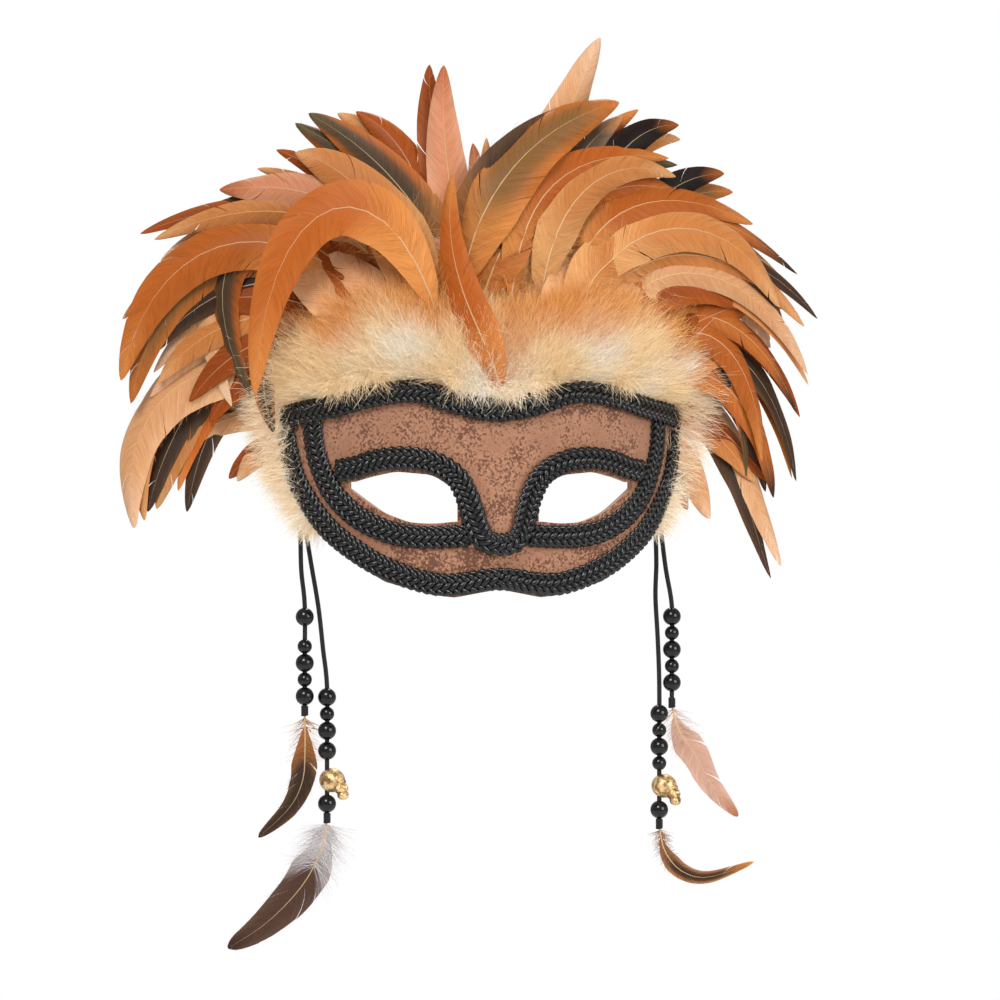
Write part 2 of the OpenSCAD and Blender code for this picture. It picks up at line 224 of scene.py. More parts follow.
class NodeKit:
    """A material being wired, with short calls for the nodes that the finishes use."""

    def __init__(self, name: str, scope: str = "object") -> None:
        """Starts a material with a Principled shader; scope is "object" or "uv"."""
        self.material = bpy.data.materials.new(name)
        self.material.use_nodes = True
        self.tree = self.material.node_tree
        self.shader = self.tree.nodes["Principled BSDF"]
        place = self.add("ShaderNodeTexCoord")
        self.place = place.outputs["UV" if scope == "uv" else "Object"]

    def add(self, kind: str, **settings: object) -> bpy.types.Node:
        """Adds a node with the given settings."""
        made = self.tree.nodes.new(kind)
        for key, value in settings.items():
            setattr(made, key, value)
        return made

    def join(self, out: Socket, into: Socket) -> None:
        """Links two sockets."""
        self.tree.links.new(out, into)

    def feed(self, name: str, out: Socket) -> None:
        """Links a value to an input of the shader."""
        self.join(out, self.shader.inputs[name])

    def noise(self, scale: float, detail: float = 4.0, rough: float = 0.55) -> Socket:
        """Returns a noise value over the piece."""
        made = self.add("ShaderNodeGroup", node_tree=mottle())
        made.inputs["Scale"].default_value = scale
        made.inputs["Detail"].default_value = detail
        made.inputs["Roughness"].default_value = rough
        self.join(self.place, made.inputs["Place"])
        return made.outputs["Value"]

    def ramp(self, value: Socket,
             stops: Sequence[tuple[float, Colour]]) -> Socket:
        """Returns a colour picked by a value from stops of place and colour."""
        made = self.add("ShaderNodeValToRGB")
        elements = made.color_ramp.elements
        while len(elements) < len(stops):
            elements.new(0.5)
        for element, (at, colour) in zip(elements, stops):
            element.position = at
            element.color = (*colour, 1.0)
        self.join(value, made.inputs["Fac"])
        return made.outputs["Color"]

    def greys(self, value: Socket, *stops: tuple[float, float]) -> Socket:
        """Returns a grey picked by a value from stops of place and brightness."""
        return self.ramp(value, [(at, (grey, grey, grey)) for at, grey in stops])

    def mixed(self, kind: str, share: Socket | float, a: Socket,
              b: Socket | Colour) -> Socket:
        """Returns two colours mixed in the named way."""
        made = self.add("ShaderNodeMix", data_type="RGBA", blend_type=kind)
        if isinstance(share, float):
            made.inputs[0].default_value = share
        else:
            self.join(share, made.inputs[0])
        self.join(a, made.inputs[6])
        if isinstance(b, tuple):
            made.inputs[7].default_value = (*b, 1.0)
        else:
            self.join(b, made.inputs[7])
        return made.outputs[2]

    def bump(self, height: Socket, strength: float, depth: float) -> None:
        """Feeds a height to the shader's normal."""
        made = self.add("ShaderNodeBump")
        made.inputs["Strength"].default_value = strength
        made.inputs["Distance"].default_value = depth
        self.join(height, made.inputs["Height"])
        self.feed("Normal", made.outputs["Normal"])

    def set(self, **values: float) -> None:
        """Sets constants on the shader; underscores stand for spaces."""
        for key, value in values.items():
            self.shader.inputs[key.replace("_", " ")].default_value = value


@dataclass(frozen=True)
class Suede:
    """Crackled faux suede: light flakes on a darker nap."""
    light: Colour = (0.50, 0.255, 0.15)
    middle: Colour = (0.37, 0.175, 0.105)
    dark: Colour = (0.165, 0.072, 0.045)
    flake: float = 900.0
    patch: float = 62.0
    grain: float = 2880.0
    patch_share: float = 0.62
    cut: tuple[float, float] = (0.80, 0.87)
    relief: float = 0.00035

    def make(self) -> Material:
        """Returns the material."""
        kit = NodeKit("suede")
        patches = kit.noise(self.patch, 3.0)
        flakes = kit.noise(self.flake, 4.0, 0.66)
        grain = kit.noise(self.grain, 3.0, 0.7)
        lean = kit.add("ShaderNodeMath", operation="MULTIPLY_ADD")
        kit.join(patches, lean.inputs[0])
        lean.inputs[1].default_value = self.patch_share
        kit.join(flakes, lean.inputs[2])
        cut = kit.add("ShaderNodeMapRange")
        kit.join(lean.outputs[0], cut.inputs["Value"])
        for name, level in zip(("From Min", "From Max"), self.cut):
            cut.inputs[name].default_value = level
        base = kit.ramp(patches, [(0.35, self.middle), (0.65, self.light)])
        colour = kit.mixed("MIX", cut.outputs["Result"], base, self.dark)
        speck = kit.greys(grain, (0.40, 0.80), (0.62, 1.12))
        kit.feed("Base Color", kit.mixed("MULTIPLY", 0.9, colour, speck))
        kit.set(Roughness=0.88, Sheen_Weight=0.12, Specular_IOR_Level=0.15)
        coarse, fine = (kit.greys(value, (0.3, 0.0), (0.7, 1.0)) for value in (flakes, grain))
        kit.bump(kit.mixed("MIX", 0.5, coarse, fine), 0.55, self.relief)
        return kit.material


@dataclass(frozen=True)
class Leatherette:
    """Glossy black strands with a fine wrinkled skin."""
    black: Colour = (0.003, 0.003, 0.0035)
    worn: Colour = (0.010, 0.0095, 0.0095)

    def make(self) -> Material:
        """Returns the material."""
        kit = NodeKit("leatherette")
        wrinkle = kit.noise(1500.0, 4.0, 0.6)
        kit.feed("Base Color", kit.ramp(wrinkle, [(0.35, self.black), (0.8, self.worn)]))
        kit.feed("Roughness", kit.greys(kit.noise(420.0), (0.3, 0.16), (0.75, 0.34)))
        kit.set(Specular_IOR_Level=0.5)
        kit.bump(wrinkle, 0.35, 0.00012)
        return kit.material


@dataclass(frozen=True)
class Cloth:
    """A plain woven or felted cloth, such as lining, tape or cord."""
    name: str
    low: Colour
    high: Colour
    grain: float = 2600.0
    weave: float = 0.22
    rough: float = 0.9
    sheen: float = 0.3

    def make(self) -> Material:
        """Returns the material."""
        kit = NodeKit(self.name)
        fuzz = kit.noise(self.grain, 3.0, 0.65)
        wave = kit.add("ShaderNodeTexWave", wave_type="BANDS", bands_direction="DIAGONAL")
        wave.inputs["Scale"].default_value = self.grain * self.weave
        wave.inputs["Distortion"].default_value = 1.5
        kit.join(kit.place, wave.inputs["Vector"])
        kit.feed("Base Color", kit.ramp(fuzz, [(0.3, self.low), (0.7, self.high)]))
        kit.set(Roughness=self.rough, Sheen_Weight=self.sheen, Specular_IOR_Level=0.2)
        nap = kit.greys(fuzz, (0.2, 0.0), (0.8, 1.0))
        kit.bump(kit.mixed("MIX", 0.5, wave.outputs["Color"], nap), 0.5, 0.00015)
        return kit.material


@dataclass(frozen=True)
class Plumage:
    """Feather barbs or down: the tint is in the mesh, streaks run along the barbs.

    The glow stands for light that loose down scatters on from strand to strand.
    """
    name: str
    rough: float = 0.5
    sheen: float = 0.0
    gloss: float = 0.16
    streak: float = 0.35
    glow: float = 0.0

    def make(self) -> Material:
        """Returns the material."""
        kit = NodeKit(self.name, "uv")
        tint = kit.add("ShaderNodeAttribute", attribute_name="tint")
        streaks = kit.noise(1.6, 3.0, 0.7)
        shade = kit.greys(streaks, (0.30, 1 - self.streak), (0.70, 1 + self.streak * 0.4))
        colour = kit.mixed("MULTIPLY", 1.0, tint.outputs["Color"], shade)
        kit.feed("Base Color", colour)
        kit.set(Roughness=self.rough, Sheen_Weight=self.sheen, Specular_IOR_Level=self.gloss)
        if self.glow:
            kit.feed("Emission Color", colour)
            kit.set(Emission_Strength=self.glow)
        kit.bump(streaks, 0.25, 0.0002)
        return kit.material


@dataclass(frozen=True)
class Polish:
    """Polished black plastic with faint rubs."""
    black: Colour = (0.002, 0.002, 0.0025)
    worn: Colour = (0.006, 0.006, 0.007)

    def make(self) -> Material:
        """Returns the material."""
        kit = NodeKit("bead_polish")
        rubs = kit.noise(500.0, 4.0)
        kit.feed("Base Color", kit.ramp(rubs, [(0.3, self.black), (0.8, self.worn)]))
        kit.feed("Roughness", kit.greys(rubs, (0.4, 0.06), (0.7, 0.14)))
        kit.set(Specular_IOR_Level=0.42)
        return kit.material


@dataclass(frozen=True)
class AntiqueGold:
    """Gold lacquer, darkened in the hollows."""
    bright: Colour = (0.83, 0.60, 0.30)
    dull: Colour = (0.22, 0.09, 0.025)
    stain: Colour = (0.30, 0.17, 0.10)
    clean: Colour = (1.12, 1.12, 1.12)

    def make(self) -> Material:
        """Returns the material."""
        kit = NodeKit("antique_gold")
        grime = kit.noise(420.0, 4.0, 0.6)
        hollow = kit.add("ShaderNodeNewGeometry")
        edge = kit.ramp(hollow.outputs["Pointiness"], [(0.44, self.dull), (0.51, self.bright)])
        blot = kit.ramp(grime, [(0.42, self.stain), (0.56, self.clean)])
        kit.feed("Base Color", kit.mixed("MULTIPLY", 0.85, edge, blot))
        kit.feed("Roughness", kit.greys(grime, (0.3, 0.25), (0.7, 0.5)))
        kit.set(Metallic=0.7)
        kit.bump(grime, 0.6, 0.0006)
        return kit.material


# ---------- the curved face
@dataclass
class FaceForm:
    """The mask's curved surface, in millimetres unrolled: u across, z up, d outward."""
    radius: float = 104.0
    half_width: float = 100.0
    nose_out: float = 7.0
    nose_size: tuple[float, float] = (9.0, 20.0)
    nose_height: float = -14.0
    widest: float = 0.86
    lining: float = 0.5
    shell: float = 1.6
    fabric: float = 0.6
    eye_in: float = 17.0
    eye_out: float = 63.5
    top_line: Route = ((0, 43), (15, 46), (33, 51), (55, 49), (70, 45), (88, 42), (97, 38),
                       (100, 34))
    bottom_line: Route = ((0, -37.5), (18, -41), (27, -40), (47, -34.5), (62, -26), (78, -14.5),
                          (92, 4.5), (97, 18), (100, 27))
    eye_low: Route = ((0, -9), (17, -9), (27, -10), (37, -9.5), (48, -5.5), (63.5, 5), (100, 29))
    eye_high: Route = ((0, 4), (17, 3.5), (19, 5), (27, 10.5), (43, 12), (55, 9.5), (63.5, 7),
                       (100, 32))

    def bump(self, u: float, z: float) -> float:
        """Returns how far the nose bridge stands out at a place."""
        wide, high = self.nose_size
        return self.nose_out * math.exp(-(u / wide) ** 2 - ((z - self.nose_height) / high) ** 2)

    def at(self, u: float, z: float, d: float) -> Vector:
        """Returns the place in metres of an unrolled place."""
        turn = u / self.radius
        r = self.radius + d
        centre = self.radius + self.bump(0, 0)
        return Vector((r * math.sin(turn), centre - r * math.cos(turn) - self.bump(u, z), z)) * MM

    def out(self, u: float) -> Vector:
        """Returns the outward direction at a place across."""
        turn = u / self.radius
        return Vector((math.sin(turn), -math.cos(turn), 0))

    def top(self, u: float) -> float:
        """Returns the height of the top edge."""
        return look_up(abs(u), self.top_line)

    @property
    def fabric_out(self) -> float:
        """Returns the depth of the suede's outer face."""
        return self.lining + self.shell + self.fabric

    def behind(self, x: float) -> float:
        """Returns the depth Y in metres of the face at a width x in metres."""
        reach = min(abs(x) / MM, self.radius * self.widest)
        return (self.radius + self.bump(0, 0) - math.sqrt(self.radius ** 2 - reach ** 2)) * MM


@dataclass
class FaceSheets:
    """The three layers of the mask: moulded shell, suede front and felt lining."""
    form: FaceForm
    columns: tuple[int, int, int] = (12, 36, 22)
    rows: tuple[int, int, int] = (12, 6, 12)
    rounding: float = 1.3

    def stations(self) -> list[float]:
        """Returns the places across that the grid has."""
        form, (nose, eye, side) = self.form, self.columns
        half = [form.eye_in * i / nose for i in range(1, nose + 1)]
        half += [lerp(form.eye_in, form.eye_out, i / eye) for i in range(1, eye + 1)]
        half += [lerp(form.eye_out, form.half_width, i / side) for i in range(1, side + 1)]
        return [-u for u in reversed(half)] + [0.0] + half

    def height(self, u: float, j: int) -> float:
        """Returns the height of row j at u."""
        low_rows, eye_rows, high_rows = self.rows
        form = self.form
        ease = [abs(u) + k * self.rounding for k in (-2, -1, 0, 1, 2)]
        low, high = (sum(look_up(x, line) for x in ease) / len(ease)
                     for line in (form.eye_low, form.eye_high))
        if j <= low_rows:
            return lerp(look_up(abs(u), form.bottom_line), low, j / low_rows)
        if j <= low_rows + eye_rows:
            return lerp(low, high, (j - low_rows) / eye_rows)
        return lerp(high, form.top(u), (j - low_rows - eye_rows) / high_rows)

    def sheet(self, name: str, inner: float, outer: float,
              material: Material) -> Piece:
        """Builds one closed layer with both eye holes.

        Args:
            name: The piece's name.
            inner: Depth of its inner face.
            outer: Depth of its outer face.
            material: Its finish.

        Returns:
            The layer.
        """
        across = self.stations()
        rows = sum(self.rows)
        eye_rows = range(self.rows[0], self.rows[0] + self.rows[1])
        high = rows + 1
        back = len(across) * high
        verts = [self.form.at(u, self.height(u, j), d)
                 for d in (outer, inner) for u in across for j in range(high)]

        def solid(i: int, j: int) -> bool:
            """Returns whether a cell of the grid is cloth."""
            if not (0 <= i < len(across) - 1 and 0 <= j < rows):
                return False
            middle = abs(across[i] + across[i + 1]) / 2
            return not (j in eye_rows and self.form.eye_in < middle < self.form.eye_out)

        faces = []
        for i in range(len(across) - 1):
            for j in range(rows):
                if not solid(i, j):
                    continue
                a = i * high + j
                b, c, d = a + 1, a + high + 1, a + high
                faces += [(a, d, c, b), (a + back, b + back, c + back, d + back)]
                for near, p, q in (((i - 1, j), a, b), ((i, j + 1), b, c),
                                   ((i + 1, j), c, d), ((i, j - 1), d, a)):
                    if not solid(*near):
                        faces.append((p, q, q + back, p + back))
        piece = make_piece(name, verts, faces, material)
        deselect()
        bpy.context.view_layer.objects.active = piece
        piece.select_set(True)
        bpy.ops.object.mode_set(mode="EDIT")
        bpy.ops.mesh.select_mode(type="VERT")
        bpy.ops.mesh.select_all(action="SELECT")
        bpy.ops.mesh.delete_loose()
        bpy.ops.mesh.select_all(action="SELECT")
        bpy.ops.mesh.normals_make_consistent(inside=False)
        bpy.ops.object.mode_set(mode="OBJECT")
        bpy.ops.object.shade_smooth_by_angle(angle=math.radians(40))
        return piece

    def build(self, suede: Material, shell: Material,
              felt: Material) -> None:
        """Builds and fits the three layers."""
        form = self.form
        fit(self.sheet("suede_cover", form.lining + form.shell, form.fabric_out, suede),
            "mask", "suede", "front_fabric")
        fit(self.sheet("moulded_shell", form.lining, form.lining + form.shell, shell),
            "mask", "shell", "mask_shell")
        fit(self.sheet("felt_lining", 0.0, form.lining, felt), "mask", "lining", "back_lining")


# ---------- braids
@dataclass
class Braid:
    """A flat braid of interlaced strands, laid along a route on the suede."""
    form: FaceForm
    name: str
    node: str
    route: Route
    width: float = 10.0
    strands: int = 6
    period: float = 19.0
    thick: float = 2.6
    steps: int = 30
    lift: float = 0.0
    ring: int = 6
    fullness: float = 0.74
    flat: float = 0.775
    weave: float = 0.50 * math.sqrt(2)
    roundness: float = 0.12
    turning: float = 0.86

    def build(self, material: Material) -> None:
        """Builds the braid and puts it in the place of its CAD band."""
        path = spline([Vector((u, z, 0)) for u, z in self.route], 12)
        lengths = [0.0]
        for a, b in zip(path, path[1:]):
            lengths.append(lengths[-1] + (b - a).length)
        total = lengths[-1]
        count = int(total / self.period * self.steps)
        half = self.fullness * self.width / self.strands
        mid = self.form.fabric_out + self.thick / 2 + self.lift

        def spot(s: float) -> tuple[Vector, Vector]:
            """Returns the place and the direction at a length along the route."""
            s = min(max(s, 0.0), total - 1e-6)
            i = next(k for k in range(len(lengths) - 1) if lengths[k + 1] >= s)
            t = (s - lengths[i]) / (lengths[i + 1] - lengths[i])
            return path[i].lerp(path[i + 1], t), (path[i + 1] - path[i]).normalized()

        spots = [spot(total * i / count) for i in range(count + 1)]
        verts, faces = [], []
        for k in range(self.strands):
            start = len(verts)
            for i, (place, along) in enumerate(spots):
                turn = (total * i / count / self.period + k / self.strands) % 1.0
                tri = 4 * abs(turn - 0.5) - 1
                ease = tri * (1 + self.roundness - self.roundness * tri * tri)
                way = 1.0 if turn < 0.5 else -1.0
                crossing = 2 * self.strands * abs(turn - 0.5) - 0.5
                height = way * self.weave * math.cos(math.pi / 2 * crossing)
                normal = Vector((-along.y, along.x, 0))
                slope = -way * 2 * self.width / self.period
                slope *= 1 if abs(tri) < self.turning else 0.3
                run = (along + normal * slope).normalized()
                cross = Vector((-run.y, run.x, 0))
                centre = place + normal * ((self.width / 2 - half * 0.8) * ease)
                for q in range(self.ring):
                    angle = 2 * math.pi * q / self.ring + math.pi / 6
                    at = centre + cross * (math.cos(angle) * half)
                    depth = mid + height + math.sin(angle) * self.flat
                    verts.append(self.form.at(at.x, at.y, depth))
            faces += tube(start, count, self.ring)
            faces.append(tuple(start + q for q in reversed(range(self.ring))))
            faces.append(tuple(start + count * self.ring + q for q in range(self.ring)))
        fit(make_piece(self.name, verts, faces, material), "mask", "braid", self.node)


def both_ways(route: Route, middle: Route = ()) -> list[tuple[float, float]]:
    """Returns a route from left to right that is the same on both sides."""
    return [(-u, z) for u, z in reversed(route)] + list(middle) + list(route)


@dataclass
class BraidTrim:
    """All the braids: top edge, rims, brow and cheeks."""
    form: FaceForm
    over: float = 0.9
    top: Route = ((17, 40.6), (33, 45.6), (52, 43.8), (70, 39.6), (86, 37.2), (96.5, 35))
    rim: Route = ((95.2, 29.5), (91, 14), (85.5, 3.5), (73, -11.5), (58, -22.5), (44, -29.8),
                  (27, -35.2), (15, -35.2), (6, -33.6), (-0.4, -33.2))
    brow: Route = ((7, -16.6), (10.4, -9), (13, 1), (17.5, 9.8), (26, 15.5), (38, 17.8),
                   (50, 16.6), (60, 13.6), (68, 12.5))
    cheek: Route = ((80.5, 34.5), (78.6, 20), (71.5, 5), (60.5, -6), (47, -12.8), (35, -15.3),
                    (24.5, -15.6), (13, -15.0))

    def build(self, material: Material) -> None:
        """Builds the six braids."""
        for name, route in (("rim", self.rim), ("cheek", self.cheek)):
            for side, hand in (("left", -1), ("right", 1)):
                Braid(self.form, f"{name}_braid_{side}", f"{side}_{name}_braid",
                      [(hand * u, z) for u, z in route]).build(material)
        for name, node, route, dip in (("brow_braid_over_eyes", "brow_braid", self.brow, -18.6),
                                       ("top_edge_braid", "top_braid", self.top, 37.6)):
            Braid(self.form, name, node, both_ways(route, ((0, dip),)),
                  lift=self.over).build(material)


# ---------- feathers
class Tone(Enum):
    """Colourings of the feathers, in thousandths: base, middle, edge and tip."""
    PEACH = (760, 440, 220), (630, 310, 140), (680, 370, 190), (740, 450, 280)
    PINK = (680, 340, 190), (560, 220, 110), (620, 290, 160), (420, 120, 45)
    ORANGE = (627, 234, 58), (418, 98, 14), (456, 117, 20), (551, 187, 43)
    GINGER = (680, 330, 120), (500, 175, 45), (550, 220, 70), (620, 300, 120)
    RUST = (522, 172, 41), (285, 58, 9), (361, 86, 14), (323, 66, 10)
    OLIVE = (380, 156, 41), (70, 44, 24), (418, 109, 19), (100, 70, 32)
    STREAK = (570, 211, 52), (209, 94, 29), (475, 140, 26), (475, 140, 29)
    GREY = (285, 133, 52), (100, 64, 42), (180, 110, 70), (627, 281, 116)
    BLACK = (285, 94, 23), (12, 7, 6), (20, 11, 8), (285, 78, 14)
    DARK = (380, 148, 46), (42, 24, 15), (100, 50, 25), (55, 28, 16)
    TIPPED = (627, 250, 70), (456, 129, 23), (399, 101, 19), (40, 19, 12)
    SLATE = (600, 570, 580), (75, 38, 26), (100, 55, 38), (42, 20, 13)
    EMBER = (300, 130, 60), (50, 22, 12), (400, 170, 70), (550, 200, 45)
    ROSE = (640, 400, 300), (600, 340, 240), (650, 400, 300), (420, 150, 70)

    def __init__(self, *stops: tuple[int, int, int]) -> None:
        """Keeps the four colours as shares of one."""
        shares = (tuple(c / 1000 for c in stop) for stop in stops)
        self.base, self.middle, self.edge, self.tip = shares

    def tint(self, s: float, t: float) -> Colour:
        """Returns the colour at a share s along and t out from the quill."""
        body = mix(self.middle, self.edge, max(0.0, (t - 0.45) / 0.4))
        body = mix(body, self.tip, (s - 0.80) / 0.16)
        return mix(self.base, body, (s - 0.16) / 0.22)


@dataclass
class Feather:
    """One feather: a tapered quill with barbs that zip into two vanes.

    Widths are in millimetres; bare, rise and clump are shares of the length.
    """
    path: Sequence[Vector]
    facing: Vector
    width: float
    tone: Tone
    barbs: int = 78
    bare: float = 0.10
    blunt: float = 3.2
    cup: float = 0.25
    quill: float = 0.55
    ragged: float = 0.02
    taper: float = 0.55
    loose: int = 34
    frayed: int = 26
    stations: tuple[float, ...] = (0.0, 0.25, 0.5, 0.75, 0.92, 1.0)
    rise: float = 0.28
    narrow: float = 0.62
    thinnest: float = 0.002
    clump: tuple[float, float] = (0.10, 0.34)
    slant: float = 1.25
    waver: float = 0.30
    proud: float = 0.05 * MM
    quill_rings: int = 14
    quill_end: float = 0.985
    quill_colour: Colour = (0.80, 0.56, 0.30)
    barb: float = 0.16
    barb_out: tuple[float, float] = (1.03, 1.22)
    barb_lean: tuple[float, float] = (1.1, 1.7)
    fluff_barb: float = 0.11
    fluff_reach: tuple[float, float] = (0.35, 0.75)
    fluff_span: float = 0.30

    def vane(self, s: float) -> float:
        """Returns the half width at a share s of the length."""
        rise = min(1.0, max(0.0, (s - self.bare) / self.rise)) ** self.taper
        fall = max(self.thinnest, 1 - s ** self.blunt) ** self.narrow
        return self.width / 2 * rise * fall

    def grow(self, mesh: "FeatherMesh", dice: random.Random) -> None:
        """Adds the feather to a mesh.

        Args:
            mesh: The mesh that it is added to.
            dice: The seeded source of its small irregularities.
        """
        count = len(self.path) - 1
        length = sum((b - a).length for a, b in zip(self.path, self.path[1:]))
        tune = 1 + dice.uniform(-0.10, 0.10)
        warm = dice.uniform(-0.04, 0.04)

        def frame_at(s: float) -> tuple[Vector, Vector, Vector, Vector]:
            """Returns the place, direction, side and face at a share of the length."""
            x = min(max(s, 0.0), 0.9999) * count
            i = int(x)
            along = (self.path[min(i + 2, count)] - self.path[max(i - 1, 0)]).normalized()
            place = self.path[i].lerp(self.path[i + 1], x - i)
            face = (self.facing - along * self.facing.dot(along)).normalized()
            return place, along, face.cross(along).normalized(), face

        def shaded(s: float, t: float, wear: float) -> Colour:
            """Returns the tint with this feather's own strength and warmth."""
            r, g, b = self.tone.tint(s, t)
            k = tune * wear
            return (min(r * k * (1 + warm), 0.9), min(g * k, 0.9), min(b * k * (1 - warm), 0.9))

        self.shaft(mesh, frame_at, length)
        seed = dice.uniform(0, 90)
        wide = len(self.stations)
        for hand in (-1, 1):
            s = self.bare
            while s < 0.99:
                end = min(s + dice.uniform(*self.clump), 1.0)
                lean, wear = dice.uniform(-0.03, 0.03), dice.uniform(0.97, 1.03)
                short = 1 - self.ragged * dice.random()
                pinch = dice.choice((0.0, 0.0, 0.012, 0.05 + self.ragged))
                rows = max(4, int((end - s) * self.barbs / 2))
                first = len(mesh.verts)
                for i in range(rows):
                    v = i / (rows - 1) - 0.5
                    for t in self.stations:
                        root = lerp(s, end, 0.5 + v * (1 - pinch * t * t))
                        reach = self.vane(root) * MM * short
                        far = min(root + reach * (self.slant + lean) * t ** 1.3 / length, 1.0)
                        place, _, side, face = frame_at(far)
                        wave = noise.noise(Vector((root * 5, hand * 3.0, seed)))
                        sink = reach * (self.cup + self.waver * wave) * t * t
                        aside = t * lerp(reach, self.vane(far) * MM * short, t)
                        at = place + side * (hand * aside) - face * sink + face * self.proud
                        mesh.point(at, shaded(root, t, wear),
                                   (root * length / MM, hand * t * 0.6 + lean * 4))
                for i in range(rows - 1):
                    for k in range(wide - 1):
                        a = first + i * wide + k
                        mesh.quad((a, a + wide, a + wide + 1, a + 1), hand)
                s = end
            self.fluff(mesh, hand, frame_at, shaded, dice)
            self.fray(mesh, hand, frame_at, shaded, dice, length)

    def shaft(self, mesh: "FeatherMesh", frame_at: Frames, length: float) -> None:
        """Adds the tapered quill."""
        start = len(mesh.verts)
        for i in range(self.quill_rings + 1):
            s = i / self.quill_rings * self.quill_end
            place, _, side, face = frame_at(s)
            thick = self.quill * (1 - 0.86 * s) * MM
            pale = mix(self.quill_colour, self.tone.middle, 0.15 + s * 0.5)
            for k in range(4):
                angle = math.pi / 2 * k
                mesh.point(place + (side * math.cos(angle) + face * math.sin(angle)) * thick,
                           pale, (s * length / MM, 0.0))
        mesh.faces += tube(start, self.quill_rings, 4)

    def fray(self, mesh: "FeatherMesh", hand: int, frame_at: Frames, shaded: Shade,
             dice: random.Random, length: float) -> None:
        """Adds single barbs that stand out past the edge of one vane."""
        for _ in range(self.frayed):
            root = lerp(self.bare + 0.12, 0.96, dice.random())
            stand_out = dice.uniform(*self.barb_out)
            reach = self.vane(root) * MM * stand_out
            lean = dice.uniform(*self.barb_lean)
            first = len(mesh.verts)
            for t in (0.55, 0.8, 1.0):
                far = min(root + reach * lean * t ** 1.3 / length, 1.0)
                place, along, side, face = frame_at(far)
                aside = t * lerp(reach, self.vane(far) * MM * stand_out, t)
                at = place + side * (hand * aside) - face * (reach * self.cup * t * t)
                for edge in (-1, 1):
                    mesh.point(at + along * (self.barb * MM * edge * (1.15 - t)),
                               shaded(root, t, 1.0),
                               (root * length / MM + edge * 0.1, hand * t * 0.6))
            mesh.ribbon(first, 2, hand)

    def fluff(self, mesh: "FeatherMesh", hand: int, frame_at: Frames, shaded: Shade,
              dice: random.Random) -> None:
        """Adds the loose downy barbs at the foot of one vane."""
        for _ in range(self.loose):
            s = self.bare * 0.5 + dice.random() ** 1.4 * self.fluff_span
            place, along, side, face = frame_at(s)
            way = side * hand + along * dice.uniform(0.1, 1.1) + face * dice.gauss(0, 0.35)
            way.normalize()
            long = self.width * dice.uniform(*self.fluff_reach) * MM
            bend = (along * dice.uniform(-0.3, 0.9) + face * dice.gauss(0, 0.3)) * (long * 0.5)
            flat = along * (self.fluff_barb * MM)
            first = len(mesh.verts)
            for t in (0.0, 0.4, 0.75, 1.0):
                at = place + way * (long * t) + bend * (t * t)
                for edge in (-1, 1):
                    mesh.point(at + flat * (edge * (1 - 0.8 * t)), shaded(s * 0.5, t * 0.3, 1.0),
                               (s * 90 + edge * 0.2, t))
            mesh.ribbon(first, 3, hand)


@dataclass
class FeatherMesh:
    """Points, faces, tints and places of many feathers that become one piece."""
    verts: list[Vector] = field(default_factory=list)
    faces: list[tuple[int, ...]] = field(default_factory=list)
    tints: list[Colour] = field(default_factory=list)
    lay: list[tuple[float, float]] = field(default_factory=list)
    front: float = -18.5 * MM
    rear: float = 68.0 * MM

    def point(self, place: Vector, tint: Colour, lay: tuple[float, float]) -> None:
        """Adds a point, pressed flat where it would stand too far out of the mask."""
        self.verts.append(Vector((place.x, min(max(place.y, self.front), self.rear), place.z)))
        self.tints.append(tint)
        self.lay.append(lay)

    def quad(self, corners: tuple[int, ...], hand: int = 1) -> None:
        """Adds a face, turned over where the hand is negative."""
        self.faces.append(corners if hand > 0 else corners[::-1])

    def ribbon(self, first: int, lengths: int, hand: int = 1) -> None:
        """Adds a ribbon's faces; its points come in pairs from the first one on."""
        for k in range(first, first + 2 * lengths, 2):
            self.quad((k, k + 1, k + 3, k + 2), hand)

    def piece(self, name: str, material: Material) -> Piece:
        """Returns the piece that the mesh makes."""
        return make_piece(name, self.verts, self.faces, material, True, self.tints, self.lay)


@dataclass(frozen=True)
class Plume:
    """One feather of the crown in the mask's plane: four control points in millimetres."""
    root: tuple[float, float]
    bend: tuple[float, float]
    bow: tuple[float, float]
    tip: tuple[float, float]
    width: float
    tone: Tone
    layer: int


